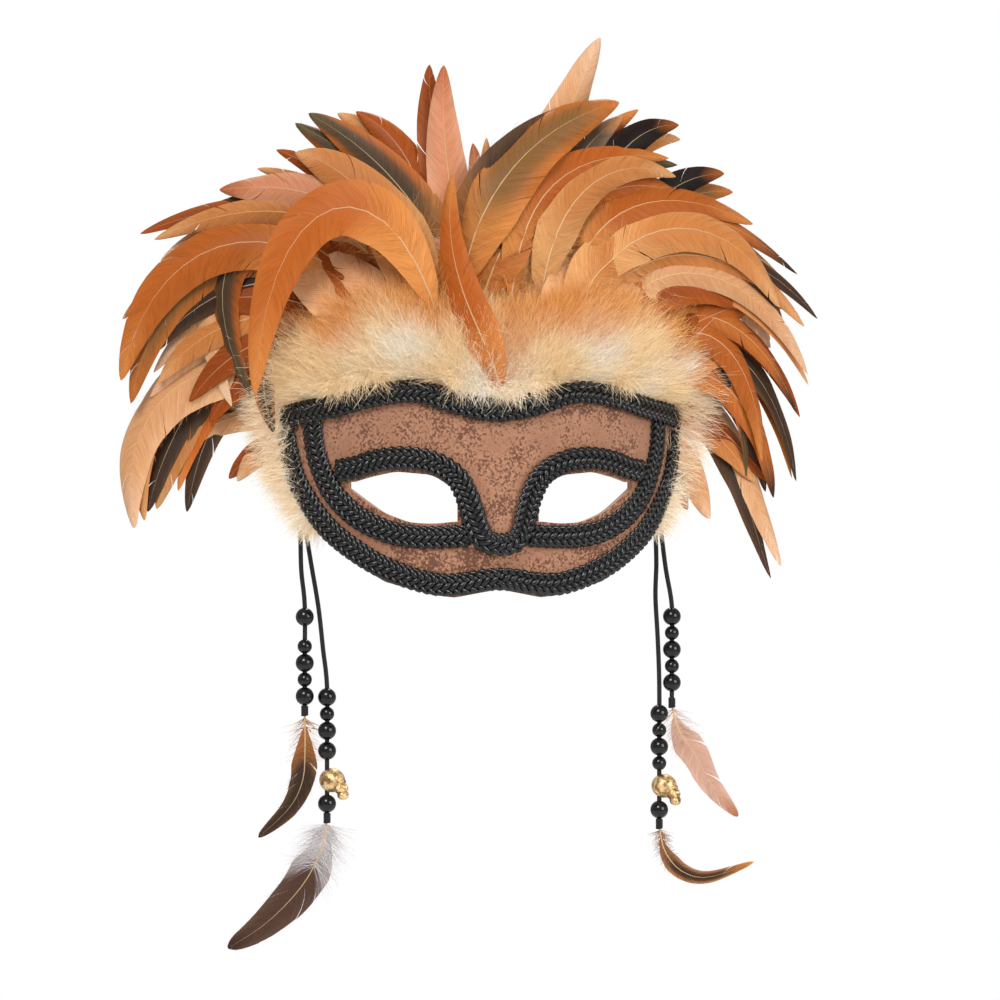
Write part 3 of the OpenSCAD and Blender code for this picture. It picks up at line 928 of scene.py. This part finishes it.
# Each row has root, bend, bow and tip, then width, tone and layer.
PLUMES = (
    (6, 71, 8, 113, 25, 147, 48, 198, 15, "PEACH", 2),
    (-13, 84, -17, 118, -24, 147, -21, 184, 11, "PINK", 2),
    (-8, 88, -7, 118, -8, 134, -9, 151, 6, "PINK", 2),
    (-15, 88, -32, 126, -49, 147, -77, 164, 11, "OLIVE", 2),
    (-20, 88, -28, 130, -37, 155, -57, 165, 10, "RUST", 3),
    (-20, 84, -45, 118, -62, 143, -83, 147, 13, "GINGER", 1),
    (-37, 101, -58, 130, -75, 143, -90, 149, 6, "RUST", 3),
    (-37, 97, -66, 134, -88, 134, -114, 132, 10, "PINK", 2),
    (-45, 97, -71, 128, -105, 128, -141, 111, 7, "GINGER", 2),
    (-54, 92, -83, 122, -113, 120, -138, 102, 9, "PEACH", 3),
    (-54, 88, -96, 126, -143, 113, -155, 51, 12, "ORANGE", 1),
    (-62, 84, -96, 113, -130, 105, -153, 79, 8, "ORANGE", 2),
    (-66, 84, -115, 134, -124, 88, -101, 45, 10, "OLIVE", 0),
    (-24, 71, -49, 151, -98, 134, -102, 44, 13, "ORANGE", -1),
    (-79, 50, -118, 71, -160, 42, -149, -12, 13, "PEACH", 1),
    (-88, 71, -107, 71, -135, 34, -143, -5, 11, "DARK", 0),
    (-83, 42, -105, 63, -122, 42, -130, 4, 8, "ORANGE", 1),
    (-83, 34, -96, 42, -115, 34, -126, 25, 8, "PEACH", 2),
    (-79, 29, -92, 25, -101, 17, -105, 8, 6, "PEACH", 1),
    (-92, 63, -97, 50, -95, 42, -91, 29, 5, "OLIVE", -1),
    (-58, 84, -92, 101, -122, 92, -143, 61, 9, "DARK", 2),
    (-62, 76, -96, 84, -122, 76, -139, 50, 9, "GINGER", 2),
    (1, 44, -9, 72, -27, 94, -21, 136, 9, "ORANGE", -1),
    (-15, 84, -15, 130, 19, 160, 55, 170, 14, "STREAK", 0),
    (15, 92, 23, 130, 36, 151, 58, 165, 8, "GREY", 2),
    (32, 105, 44, 139, 61, 162, 84, 162, 9, "BLACK", 2),
    (6, 80, 6, 130, 32, 151, 78, 147, 11, "ORANGE", 0),
    (19, 80, 19, 126, 49, 151, 81, 139, 11, "GINGER", 0),
    (49, 101, 66, 126, 83, 141, 106, 142, 8, "BLACK", 2),
    (32, 88, 40, 126, 74, 139, 118, 120, 10, "ORANGE", 1),
    (32, 84, 49, 130, 91, 139, 140, 99, 8, "TIPPED", 2),
    (36, 80, 53, 126, 108, 130, 130, 84, 11, "GINGER", 0),
    (44, 76, 57, 113, 108, 118, 143, 76, 8, "GINGER", 1),
    (49, 71, 66, 109, 117, 109, 145, 55, 8, "PEACH", 1),
    (57, 67, 74, 105, 108, 105, 134, 84, 11, "GINGER", 1),
    (66, 63, 83, 92, 121, 84, 142, 38, 8, "TIPPED", 1),
    (70, 63, 91, 84, 121, 71, 125, 17, 8, "ORANGE", 0),
    (74, 55, 91, 80, 130, 71, 143, 8, 8, "DARK", 1),
    (74, 50, 100, 67, 125, 42, 132, 1, 8, "TIPPED", 1),
    (78, 46, 100, 55, 117, 21, 136, -29, 10, "PEACH", 0),
    (74, 42, 91, 46, 108, 25, 123, 8, 9, "GINGER", 1),
    (74, 38, 87, 34, 93, 13, 101, -8, 9, "PEACH", 0),
    (66, 84, 91, 109, 117, 97, 130, 67, 10, "PEACH", 2),
    (6, 84, 15, 113, 36, 130, 66, 132, 13, "GINGER", 1),
    (-7, 80, -2, 109, 15, 130, 32, 139, 13, "RUST", 1),
    (32, 71, 36, 101, 66, 118, 96, 109, 13, "GINGER", 0),
    (49, 67, 66, 97, 91, 101, 113, 84, 12, "RUST", 1),
    (-28, 76, -37, 105, -49, 126, -66, 134, 13, "GINGER", 1),
    (-45, 76, -62, 101, -79, 113, -101, 118, 12, "RUST", 2),
    (-58, 71, -79, 88, -101, 88, -122, 84, 12, "RUST", 1),
    (-66, 63, -88, 76, -109, 67, -126, 42, 11, "RUST", 1),
    (-20, 76, -24, 105, -32, 126, -39, 147, 13, "RUST", 2),
    (-2, 76, -2, 105, 2, 126, 6, 151, 12, "RUST", 2),
    (-28, 71, -20, 97, -13, 118, -2, 143, 12, "ORANGE", 1),
)
CROWN = tuple(Plume(row[0:2], row[2:4], row[4:6], row[6:8], row[8], Tone[row[9]], row[10])
              for row in PLUMES)


class Clump(Enum):
    """The clumps of the crown: CAD node, and the tips' bearings from the brow in degrees."""
    LEFT_SIDE = ("left_side_plume", -180, -97)
    LEFT_ARCH = ("left_arch_plume", -97, -70)
    LEFT_FAN = ("left_fan_plume", -70, -42)
    LEFT_TALL = ("left_tall_plume", -42, 0)
    RIGHT_TALL = ("right_tall_plume", 0, 26)
    RIGHT_FAN = ("right_fan_plume", 26, 56)
    RIGHT_ARCH = ("right_arch_plume", 56, 80)
    RIGHT_SIDE = ("right_side_plume", 80, 180)


@dataclass
class FeatherCrown:
    """The fan of cock feathers that stands behind the top edge."""
    form: FaceForm
    in_down: float = 6.0
    over_down: float = 10.0
    rooted: float = 7.0
    sweep_back: float = 0.24
    low_root: float = 50.0
    behind_edge: float = 4.0
    foremost: float = -15.0
    rearmost: float = 58.0
    layer_gap: float = 3.2
    lean_back: float = 9.0
    seed: int = 11
    brow_height: float = 40.0
    twins: int = 2
    twin_gap: float = 4.5
    twin_size: float = 0.92
    twin_tones: str = "RUST GINGER ORANGE PEACH DARK OLIVE STREAK"
    cups: tuple[float, float] = (0.12, 0.42)
    blunts: tuple[float, float] = (1.4, 2.8)
    fullness: float = 2.05
    turned: float = 4.5
    short_feathers: int = 54
    short_reach: float = 84.0
    short_tones: str = "ORANGE GINGER RUST PEACH"
    short_fullness: float = 1.7
    short_feet: tuple[float, float] = (6, 20)
    short_lengths: tuple[float, float] = (42, 66)
    short_widths: tuple[float, float] = (11, 15)
    short_bows: tuple[float, float] = (2, 12)
    short_droop: float = 9.0
    steps: int = 26

    def route(self, plume: Plume, shift: Vector, back: float) -> list[Vector]:
        """Returns a feather's curve, with its foot on the tape behind the top edge.

        Args:
            plume: The feather's control points.
            shift: How far the tip and bow move, in millimetres, in X and Z.
            back: Extra depth in millimetres.

        Returns:
            Points in metres.
        """
        root, bend, bow, tip = (
            Vector((*p, 0)) for p in (plume.root, plume.bend, plume.bow, plume.tip))
        bend, bow, tip = bend + shift * 0.5, bow + shift, tip + shift * 1.4
        points = []
        for i in range(self.steps + 1):
            t = i / self.steps
            p = bezier((root, bend, bow, tip), t)
            depth = self.form.behind(root.x * MM) / MM + self.sweep_back * (abs(p.x) - abs(root.x))
            y = depth + back + plume.layer * self.layer_gap - self.in_down + self.lean_back * t * t
            y += self.rooted * max(0.0, 1 - t / 0.24)
            if plume.root[1] < self.low_root:
                y = max(y, depth + self.behind_edge)
            if plume.layer < 0:
                y = depth - self.in_down - self.over_down * min(1.0, t / 0.22)
            points.append(Vector((p.x, min(max(y, self.foremost), self.rearmost), p.y)) * MM)
        return points

    def clump(self, plume: Plume) -> Clump:
        """Returns the clump that a feather belongs to, by the bearing of its tip."""
        bearing = math.degrees(math.atan2(plume.tip[0], plume.tip[1] - self.brow_height))
        return next(c for c in Clump if c.value[1] < bearing <= c.value[2])

    def build(self, material: Material) -> None:
        """Builds every clump and puts it in the place of its CAD solid."""
        dice = random.Random(self.seed)
        meshes = {clump: FeatherMesh() for clump in Clump}
        tones = [Tone[name] for name in self.twin_tones.split()]
        for plume in CROWN:
            mesh = meshes[self.clump(plume)]
            for twin in range(self.twins if plume.layer >= 0 else 1):
                shift = Vector((dice.uniform(-7, 7), dice.uniform(-9, 3), 0)) * (twin > 0)
                tone = dice.choice(tones) if twin else plume.tone
                path = self.route(plume, shift, self.twin_gap * twin)
                middle = path[len(path) // 2]
                facing = Vector((middle.x * self.turned + dice.uniform(-0.35, 0.35), -1,
                                 dice.uniform(-0.1, 0.3))).normalized()
                width = plume.width * self.fullness * (self.twin_size if twin else 1)
                Feather(path, facing, width, tone, barbs=90, bare=0.03, quill=0.5,
                        cup=dice.uniform(*self.cups),
                        blunt=dice.uniform(*self.blunts)).grow(mesh, dice)
        self.fill(meshes, dice)
        for clump, mesh in meshes.items():
            node = clump.value[0]
            slot = "dark_feather" if "side" in node else "ginger_feather"
            fit(mesh.piece(node.replace("plume", "feathers"), material), "mask", slot, node)

    def fill(self, meshes: dict[Clump, FeatherMesh], dice: random.Random) -> None:
        """Adds the short underfeathers that close the crown between down and plumes."""
        reach = self.short_reach
        tones = [Tone[name] for name in self.short_tones.split()]
        for i in range(self.short_feathers):
            u = lerp(-reach, reach, (i + dice.random()) / self.short_feathers)
            foot = self.form.top(u) + dice.uniform(*self.short_feet)
            way = Vector((u / reach * dice.uniform(0.7, 1.3) + dice.uniform(-0.2, 0.2), 1, 0))
            way.normalize()
            side = Vector((way.y, -way.x, 0)) * math.copysign(dice.uniform(*self.short_bows), u)
            long = dice.uniform(*self.short_lengths)
            start = Vector((u * 0.86, foot, 0))
            fall = Vector((0, -self.short_droop, 0))
            stops = [start + way * (long * t) + side * (t * t) + fall * (t * t)
                     for t in (0.0, 0.35, 0.7, 1.0)]
            plume = Plume(*((p.x, p.y) for p in stops), dice.uniform(*self.short_widths),
                          dice.choice(tones), 0)
            path = self.route(plume, Vector((0, 0, 0)), dice.uniform(1, 7))
            facing = Vector((start.x * self.turned * MM + dice.uniform(-0.3, 0.3), -1,
                             dice.uniform(0, 0.3)))
            Feather(path, facing.normalized(), plume.width * self.short_fullness, plume.tone,
                    barbs=50, quill=0.35, bare=0.03, cup=dice.uniform(0.1, 0.4), loose=80,
                    ragged=0.04).grow(meshes[self.clump(plume)], dice)


@dataclass
class DownRuff:
    """Loose down in front of the feathers' feet, in tufts of thin wavy strands."""
    form: FaceForm
    seed: int = 5
    tufts: int = 900
    strands: int = 30
    strand: float = 12.5
    thick: float = 0.24
    height: float = 27.0
    foremost: float = -18.0
    rear_share: float = 0.16
    white: Colour = (0.95, 0.91, 0.84)
    cream: Colour = (0.93, 0.73, 0.46)
    light_orange: Colour = (0.80, 0.40, 0.12)
    overhangs: tuple[tuple[float, float], ...] = ((-72, -46), (-20, 20), (50, 62))
    white_spots: tuple[Triple, ...] = ((-36, 0.32, 17), (41, 0.30, 15), (86, 0.5, 14),
                                       (-8, 0.0, 10))
    profile: Route = ((1.0, -3), (3.4, 0.5), (6.6, 5), (7.2, 13), (5.5, 19), (2.0, 25),
                      (-3.0, 27), (-5.0, 18), (-3.2, 4))
    across: int = 40
    spray: Triple = (0.40, 0.30, 0.40)
    scatter: Triple = (1.6, 1.2, 1.6)
    curl: float = 0.22
    lengths: tuple[float, float] = (0.45, 1.15)
    shades: tuple[float, float] = (0.80, 1.1)
    bed_depth: tuple[float, float] = (4.5, 7.0)
    bed_shade: float = 0.8
    rear_depth: float = -4.5
    hang_zone: float = 0.12
    steepest: float = -0.05
    straight_down: float = -1.0
    side_tufts: int = 520
    side_span: tuple[float, float] = (58.0, -9.0)
    side_edge: tuple[float, float] = (78.0, 97.0)
    side_strand: float = 27.0

    def tone(self, u: float, rise: float) -> Colour:
        """Returns the colour of the down at a place along the edge and a share of its height."""
        patch = noise.noise(Vector((u * 0.055, rise * 1.3, 3.1)))
        low = mix(self.cream, self.white, 0.18 + patch * 0.9)
        for at, level, reach in self.white_spots:
            near = math.hypot((u - at) / reach, (rise - level) / 0.42)
            low = mix(low, self.white, 1.0 - near)
        return mix(low, self.light_orange, (rise - 0.36 + patch * 0.6) * 1.9)

    def tuft(self, mesh: FeatherMesh, foot: Vector, aim: Vector, colour: Colour,
             reach: float, lowest: float, dice: random.Random) -> None:
        """Adds a tuft of strands that spray from a foot.

        Args:
            mesh: The mesh that it is added to.
            foot: Where the strands start.
            aim: The way that they lean.
            colour: Their colour.
            reach: Their length in millimetres.
            lowest: The steepest way down that a strand may take.
            dice: The seeded source of their spread.
        """
        for _ in range(self.strands):
            way = aim + Vector([dice.gauss(0, s) for s in self.spray])
            way.z = max(way.z, lowest)
            way.normalize()
            side = way.cross(Vector([dice.uniform(-1, 1) for _ in range(3)])).normalized()
            start = foot + Vector([dice.gauss(0, s) for s in self.scatter]) * MM
            long = reach * dice.uniform(*self.lengths) * MM
            curl = side.cross(way) * (dice.gauss(0, self.curl) * long)
            shade = dice.uniform(*self.shades)
            first = len(mesh.verts)
            for t in (0.0, 0.5, 1.0):
                at = start + way * (long * t) + curl * (t * t)
                at.y = max(at.y, self.foremost * MM)
                half = side * (self.thick * 0.5 * (1 - 0.75 * t) * MM)
                # Each strand darkens towards its root (0.86 + 0.14 * t): painted shade deep inside
                # the tuft, on top of the strand's random tone.
                tint = tuple(min(c * shade * (0.86 + 0.14 * t), 0.95) for c in colour)
                mesh.point(at - half, tint, (start.x / MM, t))
                mesh.point(at + half, tint, (start.x / MM + 0.2, t))
            mesh.ribbon(first, 2)

    def core(self, mesh: FeatherMesh, start: float, end: float) -> None:
        """Adds the dense bed that the tufts stand on, between two places along the edge."""
        across, around = self.across, len(self.profile)
        base = len(mesh.verts)
        for i in range(across + 1):
            u = lerp(start, end, i / across)
            swell = math.sin(math.pi * min(1, max(0, (i + 0.6) / (across + 1.2)))) ** 0.25
            for d, rise in self.profile:
                wob = 1.6 * noise.noise(Vector((u * 0.12, rise * 0.1, d)))
                colour = self.tone(u, rise / self.height)
                mesh.point(self.form.at(u, self.form.top(u) + rise * swell, d * swell + wob),
                           tuple(c * self.bed_shade for c in colour), (u, rise))
        mesh.faces += [(a, d, c, b) for a, b, c, d in tube(base, across, around)]
        mesh.faces.append(tuple(base + q for q in range(around)))
        mesh.faces.append(tuple(base + across * around + q for q in reversed(range(around))))

    def stretch(self, mesh: FeatherMesh, start: float, end: float, dice: random.Random) -> None:
        """Adds the tufts between two places along the top edge."""
        form = self.form
        for _ in range(self.tufts):
            u = dice.uniform(start, end)
            rise = dice.random()
            swell = math.sin(math.pi * min(rise * 1.2, 1))
            depth = lerp(*self.bed_depth, swell) - 9 * max(0, rise - 0.75)
            foot = form.at(u, form.top(u) + 2.5 + rise * self.height, depth)
            fan = Vector((u / 92 * (0.35 + 0.9 * rise), 0, 0.95 if rise > 0.1 else 0.25))
            aim = (fan + form.out(u) * (0.62 - 0.45 * rise)).normalized()
            if dice.random() < self.rear_share:
                foot = form.at(u, form.top(u) + 3 + rise * self.height, self.rear_depth)
                aim = (Vector((0, 0, 0.9)) - form.out(u) * 0.7).normalized()
            hangs = rise < self.hang_zone and any(a < u < b for a, b in self.overhangs)
            if hangs:
                aim = Vector((dice.gauss(0, 0.4), -0.7, -0.45))
            self.tuft(mesh, foot, aim, self.tone(u, rise), self.strand * (0.8 + 0.45 * rise),
                      self.straight_down if hangs else self.steepest, dice)

    def side(self, mesh: FeatherMesh, hand: int, dice: random.Random) -> None:
        """Adds the tufts that stick out past one side of the mask."""
        for _ in range(self.side_tufts):
            drop = dice.random()
            height = lerp(*self.side_span, drop)
            edge = lerp(*self.side_edge, min(1.0, (height + 14.5) / 32.5))
            across = hand * (edge - dice.uniform(-2, 5))
            foot = self.form.at(across, height, dice.uniform(-6, -1))
            aim = Vector((hand * dice.uniform(0.3, 1.2), 0.15,
                          dice.uniform(-0.8, 0.5) - 0.3 * drop))
            colour = mix(self.white, self.cream, dice.random() * 1.3)
            colour = mix(colour, self.light_orange, dice.random() * 0.35 * (1 - drop))
            self.tuft(mesh, foot, aim.normalized(), colour, self.side_strand - 15 * drop,
                      self.straight_down, dice)

    def build(self, material: Material) -> None:
        """Builds the three stretches along the top edge and the tufts at both ends."""
        dice = random.Random(self.seed)
        for place, start, end in (("left", -93, -31), ("centre", -32, 32), ("right", 31, 93)):
            mesh = FeatherMesh()
            self.core(mesh, start, end)
            self.stretch(mesh, start, end, dice)
            fit(mesh.piece(f"down_{place}", material), "mask", "down", f"{place}_down")
        for place, hand in (("left", -1), ("right", 1)):
            mesh = FeatherMesh()
            self.side(mesh, hand, dice)
            fit(mesh.piece(f"side_down_{place}", material), "mask", "down")


# ---------- strands
@dataclass(frozen=True)
class Strand:
    """One hanging strand: its cord, its feather and what is on it, in millimetres.

    Routes have X and Z, all at the depth of the knots.
    """
    key: str
    route: Route
    feather: Route
    width: float
    tone: Tone
    slot: str
    skull: float | None = None
    loose: int = 60
    beads: int = 5
    depth: float = 43.0

    def points(self, route: Route) -> list[Vector]:
        """Returns a route's places as points in metres."""
        return [Vector((x, self.depth, z)) * MM for x, z in route]


STRANDS = (
    Strand("a", ((-78.9, -15.3), (-78.6, -30), (-77.1, -45), (-77.1, -66),
                 (-77.1, -88)),
           ((-77.1, -91), (-77, -106), (-78, -120), (-84, -132), (-97, -144)),
           13, Tone.DARK, "dark_feather"),
    Strand("b", ((-76.3, -15.3), (-74.4, -27), (-71.2, -46), (-69.2, -64),
                 (-67.5, -80), (-67.5, -107), (-67.5, -134)),
           ((-67.5, -137), (-70.5, -151), (-79, -166), (-94, -181), (-110, -191)),
           21, Tone.SLATE, "dark_feather", skull=-120.0, loose=200),
    Strand("c", ((76.3, -15.3), (76.6, -28), (76.2, -42), (77.2, -60),
                 (77.9, -80), (77.9, -109), (77.9, -138.6)),
           ((77.9, -142), (80.5, -153), (88, -161.6), (100, -164.4), (120, -158)),
           8.5, Tone.EMBER, "dark_feather", skull=-124.3, loose=90),
    Strand("d", ((78.9, -15.3), (80.8, -30), (83.5, -46), (83.5, -64),
                 (83.5, -86)),
           ((83.5, -89), (87, -101), (94, -111), (101, -124), (113, -138)),
           15, Tone.ROSE, "tan_feather"),
)


# Balls of the skull: X, one or more Y, Z and three radii, in shares of the cranium's radius.
SKULL_SOLIDS = ((0.78, (0,), -0.50, (0.56, 0.66, 0.50)), (1.00, (0,), -1.00, (0.44, 0.54, 0.40)),
                (0.70, (0.46, -0.46), -0.50, (0.30, 0.24, 0.20)),
                (0.78, (0,), 0.02, (0.30, 0.62, 0.16)))
SKULL_HOLES = ((1.18, (0.34, -0.34), -0.28, (0.36, 0.24, 0.24)),
               (1.36, (0,), -0.60, (0.22, 0.12, 0.17)),
               (0.45, (0.66, -0.66), -0.80, (0.26, 0.20, 0.22)),
               (1.44, tuple(k * 0.14 for k in range(-3, 4)), -0.98, (0.12, 0.026, 0.28)),
               (1.44, (0,), -0.95, (0.18, 0.50, 0.030)))


@dataclass
class HangingStrands:
    """The four beaded cords with skull beads, bindings, knots and pendant feathers."""
    cord_width: float = 2.0
    binding_height: float = 4.4
    skull_width: float = 11.2
    skull_off: float = 2.2
    skull_voxel: float = 0.13
    skull_turn: float = -28.0
    skull_nod: float = 6.0
    knot_places: tuple[tuple[str, float], ...] = (("left", -77.6), ("right", 77.6))
    knot_depth: float = 43.0
    knot_height: float = -12.0
    knot_ring: tuple[float, float] = (1.75, 1.05)
    knot_turns: Route = ((0.5, 0.0), (1.1, 1.1), (-0.8, 2.2), (1.5, 2.9))
    stub: float = 2.2
    wrap_radius: float = 1.6
    wrap_turns: int = 7
    thread: float = 0.42

    def cords(self, cloth: Material) -> None:
        """Builds the cords, each one smooth curve at its real length."""
        for strand in STRANDS:
            route = strand.points(strand.route)
            points = spline(route, 5)
            curve = bpy.data.curves.new(f"cord_{strand.key}_run", "CURVE")
            curve.dimensions = "3D"
            curve.bevel_depth = self.cord_width / 2 * MM
            curve.bevel_resolution = 3
            curve.use_fill_caps = True
            line = curve.splines.new("POLY")
            line.points.add(len(points) - 1)
            for point, place in zip(line.points, points):
                point.co = (*place, 1.0)
            curve.materials.append(cloth)
            piece = bpy.data.objects.new(curve.name, curve)
            bpy.context.scene.collection.objects.link(piece)
            fit(piece, f"strand_{strand.key}", "cord", f"cord_{strand.key}")

    def wraps(self, name: str, top: Vector, cloth: Material) -> Piece:
        """Builds the thread wound round a cord's end, down from its top."""
        loops = []
        for i in range(self.wrap_turns):
            drop = (self.binding_height - 2 * self.thread) * i / (self.wrap_turns - 1)
            loops.append(ring_mesh(top - Vector((0, 0, self.thread + drop)) * MM,
                                   (0.10, 0.06, 0.7 * i), (self.wrap_radius - self.thread) * MM,
                                   self.thread * MM, (28, 8)))
        return merged(name, loops, cloth)

    def knot(self, name: str, centre: Vector, cloth: Material) -> Piece:
        """Builds an overhand knot of doubled cord from crossing loops."""
        major, minor = self.knot_ring
        loops = [ring_mesh(centre, (tilt, 0.4 * i, turn), major * MM, minor * MM, (32, 12))
                 for i, (tilt, turn) in enumerate(self.knot_turns)]
        for hand in (-1, 1):
            bpy.ops.mesh.primitive_cylinder_add(
                vertices=16, radius=self.cord_width / 2 * MM, depth=self.stub * MM,
                location=centre + Vector((hand * 1.2, 0, -1.0 - self.stub / 2)) * MM)
            loops.append(bpy.context.active_object)
        return merged(name, loops, cloth)

    def skull(self, name: str, centre: Vector, gold: Material) -> Piece:
        """Builds a stylised skull bead that looks to the right and down.

        Args:
            name: The piece's name.
            centre: The cranium's centre, in metres.
            gold: Its finish.

        Returns:
            The bead.
        """
        r = self.skull_width / 2 * MM
        deselect()

        def ball(place: Triple, size: Triple) -> Piece:
            """Adds a ball at a place with three radii, in shares of the cranium's radius."""
            bpy.ops.mesh.primitive_uv_sphere_add(segments=32, ring_count=20, radius=r,
                                                 location=[c * r for c in place], scale=size)
            bpy.ops.object.transform_apply(location=True, rotation=True, scale=True)
            return bpy.context.active_object

        def apply(kind: str, **settings: object) -> None:
            """Gives the head a modifier with the given settings and applies it."""
            change = head.modifiers.new("change", kind)
            for key, value in settings.items():
                setattr(change, key, value)
            deselect()
            bpy.context.view_layer.objects.active = head
            head.select_set(True)
            bpy.ops.object.modifier_apply(modifier="change")

        head = ball((0, 0, 0), (1.0, 0.93, 0.93))
        tools = [(ball((x, y, z), size), way)
                 for way, balls in (("UNION", SKULL_SOLIDS), ("DIFFERENCE", SKULL_HOLES))
                 for x, across, z, size in balls for y in across]
        for tool, way in tools:
            apply("BOOLEAN", operation=way, object=tool, solver="EXACT")
            bpy.data.objects.remove(tool)
        apply("REMESH", mode="VOXEL", voxel_size=self.skull_voxel * MM)
        apply("SMOOTH", factor=0.5, iterations=3)
        head.name = name
        head.data.transform(Matrix.Translation(centre)
                            @ Matrix.Rotation(math.radians(self.skull_turn), 4, "Z")
                            @ Matrix.Rotation(math.radians(self.skull_nod), 4, "Y"))
        coat(head, gold)
        return head

    def build(self, cloth: Material, gold: Material,
              vane: Material) -> None:
        """Builds the strands' pieces, and last their cords."""
        for strand in STRANDS:
            key = strand.key
            end = strand.points(strand.route)[-1]
            fit(self.wraps(f"binding_{key}_wraps", end, cloth), f"strand_{key}", "cord",
                f"binding_{key}")
            if strand.skull is not None:
                centre = Vector((strand.route[-1][0] + self.skull_off, strand.depth,
                                 strand.skull)) * MM
                fit(self.skull(f"skull_{key}_bead", centre, gold), f"skull_{key}", "skull_gold",
                    f"skull_{key}")
            mesh = FeatherMesh()
            Feather(spline(strand.points(strand.feather), 6), Vector((0.12, -1, 0)),
                    strand.width, strand.tone, barbs=120, bare=0.10, blunt=2.2, cup=0.10,
                    quill=0.45, ragged=0.06, taper=0.8,
                    loose=strand.loose).grow(mesh, random.Random(ord(key)))
            fit(mesh.piece(f"feather_{key}_vane", vane), f"feather_{key}", strand.slot,
                f"feather_{key}")
        for side, x in self.knot_places:
            centre = Vector((x, self.knot_depth, self.knot_height)) * MM
            fit(self.knot(f"knot_{side}_loops", centre, cloth), f"{side}_knot", "cord",
                f"{side}_cord_knot")
        self.cords(cloth)


# ---------- CAD pieces that stay
def dress_nodes(finishes: dict[str, Material]) -> None:
    """Gives the CAD pieces that stay showing their finishes.

    Args:
        finishes: A finish for each record slot.
    """
    slots = {part["node"]: part["material_slot"] for part in frame["record"]["subparts"]}
    for name, piece in frame["nodes"].items():
        if slots[name] in finishes:
            coat(piece, finishes[slots[name]])


# ---------- studio
@dataclass
class Studio:
    """Camera, soft light and a small pale floor."""
    turn: float = math.radians(9.7)
    distance: float = 1.575
    lens: float = 135.0
    aim: tuple[float, float, float] = (0.0003, 0.0, 0.0)
    floor_height: float = -0.25
    softness: float = 0.48
    lamps: tuple[tuple[str, Triple, float, float], ...] = (
        ("key", (-0.6, -1.1, 1.0), 0.7, 17.0), ("fill", (0.9, -1.1, 0.3), 0.8, 11.0),
        ("rim", (0.2, 0.9, 1.1), 0.6, 8.0))

    def build(self) -> None:
        """Sets up the camera, the lights and the floor."""
        scene = bpy.context.scene
        data = bpy.data.cameras.new("camera")
        data.lens, data.sensor_width = self.lens, 36.0
        camera = bpy.data.objects.new("camera", data)
        scene.collection.objects.link(camera)
        back = Vector((-math.sin(self.turn), -math.cos(self.turn), 0)) * self.distance
        camera.location = Vector(self.aim) + back
        camera.rotation_euler = (-back).to_track_quat("-Z", "Y").to_euler()
        scene.camera = camera
        world = bpy.data.worlds.new("soft white")
        world.use_nodes = True
        wall = world.node_tree.nodes["Background"]
        wall.inputs["Color"].default_value = (1, 1, 1, 1)
        glance = world.node_tree.nodes.new("ShaderNodeLightPath")
        share = world.node_tree.nodes.new("ShaderNodeMapRange")
        share.inputs["To Min"].default_value = self.softness
        world.node_tree.links.new(glance.outputs["Is Camera Ray"], share.inputs["Value"])
        world.node_tree.links.new(share.outputs["Result"], wall.inputs["Strength"])
        scene.world = world
        scene.view_settings.view_transform = "Standard"
        for name, place, size, power in self.lamps:
            light = bpy.data.lights.new(name, "AREA")
            light.size, light.energy = size, power
            lamp = bpy.data.objects.new(name, light)
            lamp.location = place
            lamp.rotation_euler = (-Vector(place)).to_track_quat("-Z", "Y").to_euler()
            scene.collection.objects.link(lamp)
        deselect()
        bpy.ops.mesh.primitive_plane_add(size=1, location=(0, -0.1, self.floor_height))
        floor = bpy.context.active_object
        floor.name = "pale_floor"
        floor.scale = (1.2, 0.6, 1)
        bpy.ops.object.transform_apply(location=True, rotation=True, scale=True)
        kit = NodeKit("pale_floor")
        kit.feed("Base Color", kit.greys(kit.noise(4.0), (0.3, 0.86), (0.7, 0.9)))
        kit.set(Roughness=0.8)
        floor.data.materials.append(kit.material)


def main() -> None:
    """Builds the mask, group by group."""
    logging.basicConfig(level=logging.INFO, format="%(message)s")
    Studio().build()
    form = FaceForm()
    cord = Cloth("cord_cloth", (0.006, 0.006, 0.006), (0.028, 0.027, 0.027), grain=3000,
                 sheen=0.15).make()
    vane = Plumage("feather_vane", rough=0.42, streak=0.30, gloss=0.10).make()
    felt = Cloth("felt", (0.012, 0.011, 0.010), (0.05, 0.045, 0.042), grain=1500).make()
    tape = Cloth("tape", (0.010, 0.010, 0.010), (0.035, 0.034, 0.033), grain=2200).make()
    shell = Cloth("moulded", (0.42, 0.23, 0.14), (0.55, 0.32, 0.2), grain=900, sheen=0.1).make()
    HangingStrands().build(cord, AntiqueGold().make(), vane)
    FaceSheets(form).build(Suede().make(), shell, felt)
    BraidTrim(form).build(Leatherette().make())
    dress_nodes({"bead": Polish().make(), "cord": cord, "tape": tape})
    FeatherCrown(form).build(vane)
    DownRuff(form).build(Plumage("down", rough=0.95, streak=0.10, gloss=0.04, glow=0.16).make())


if __name__ == "__main__":
    main()
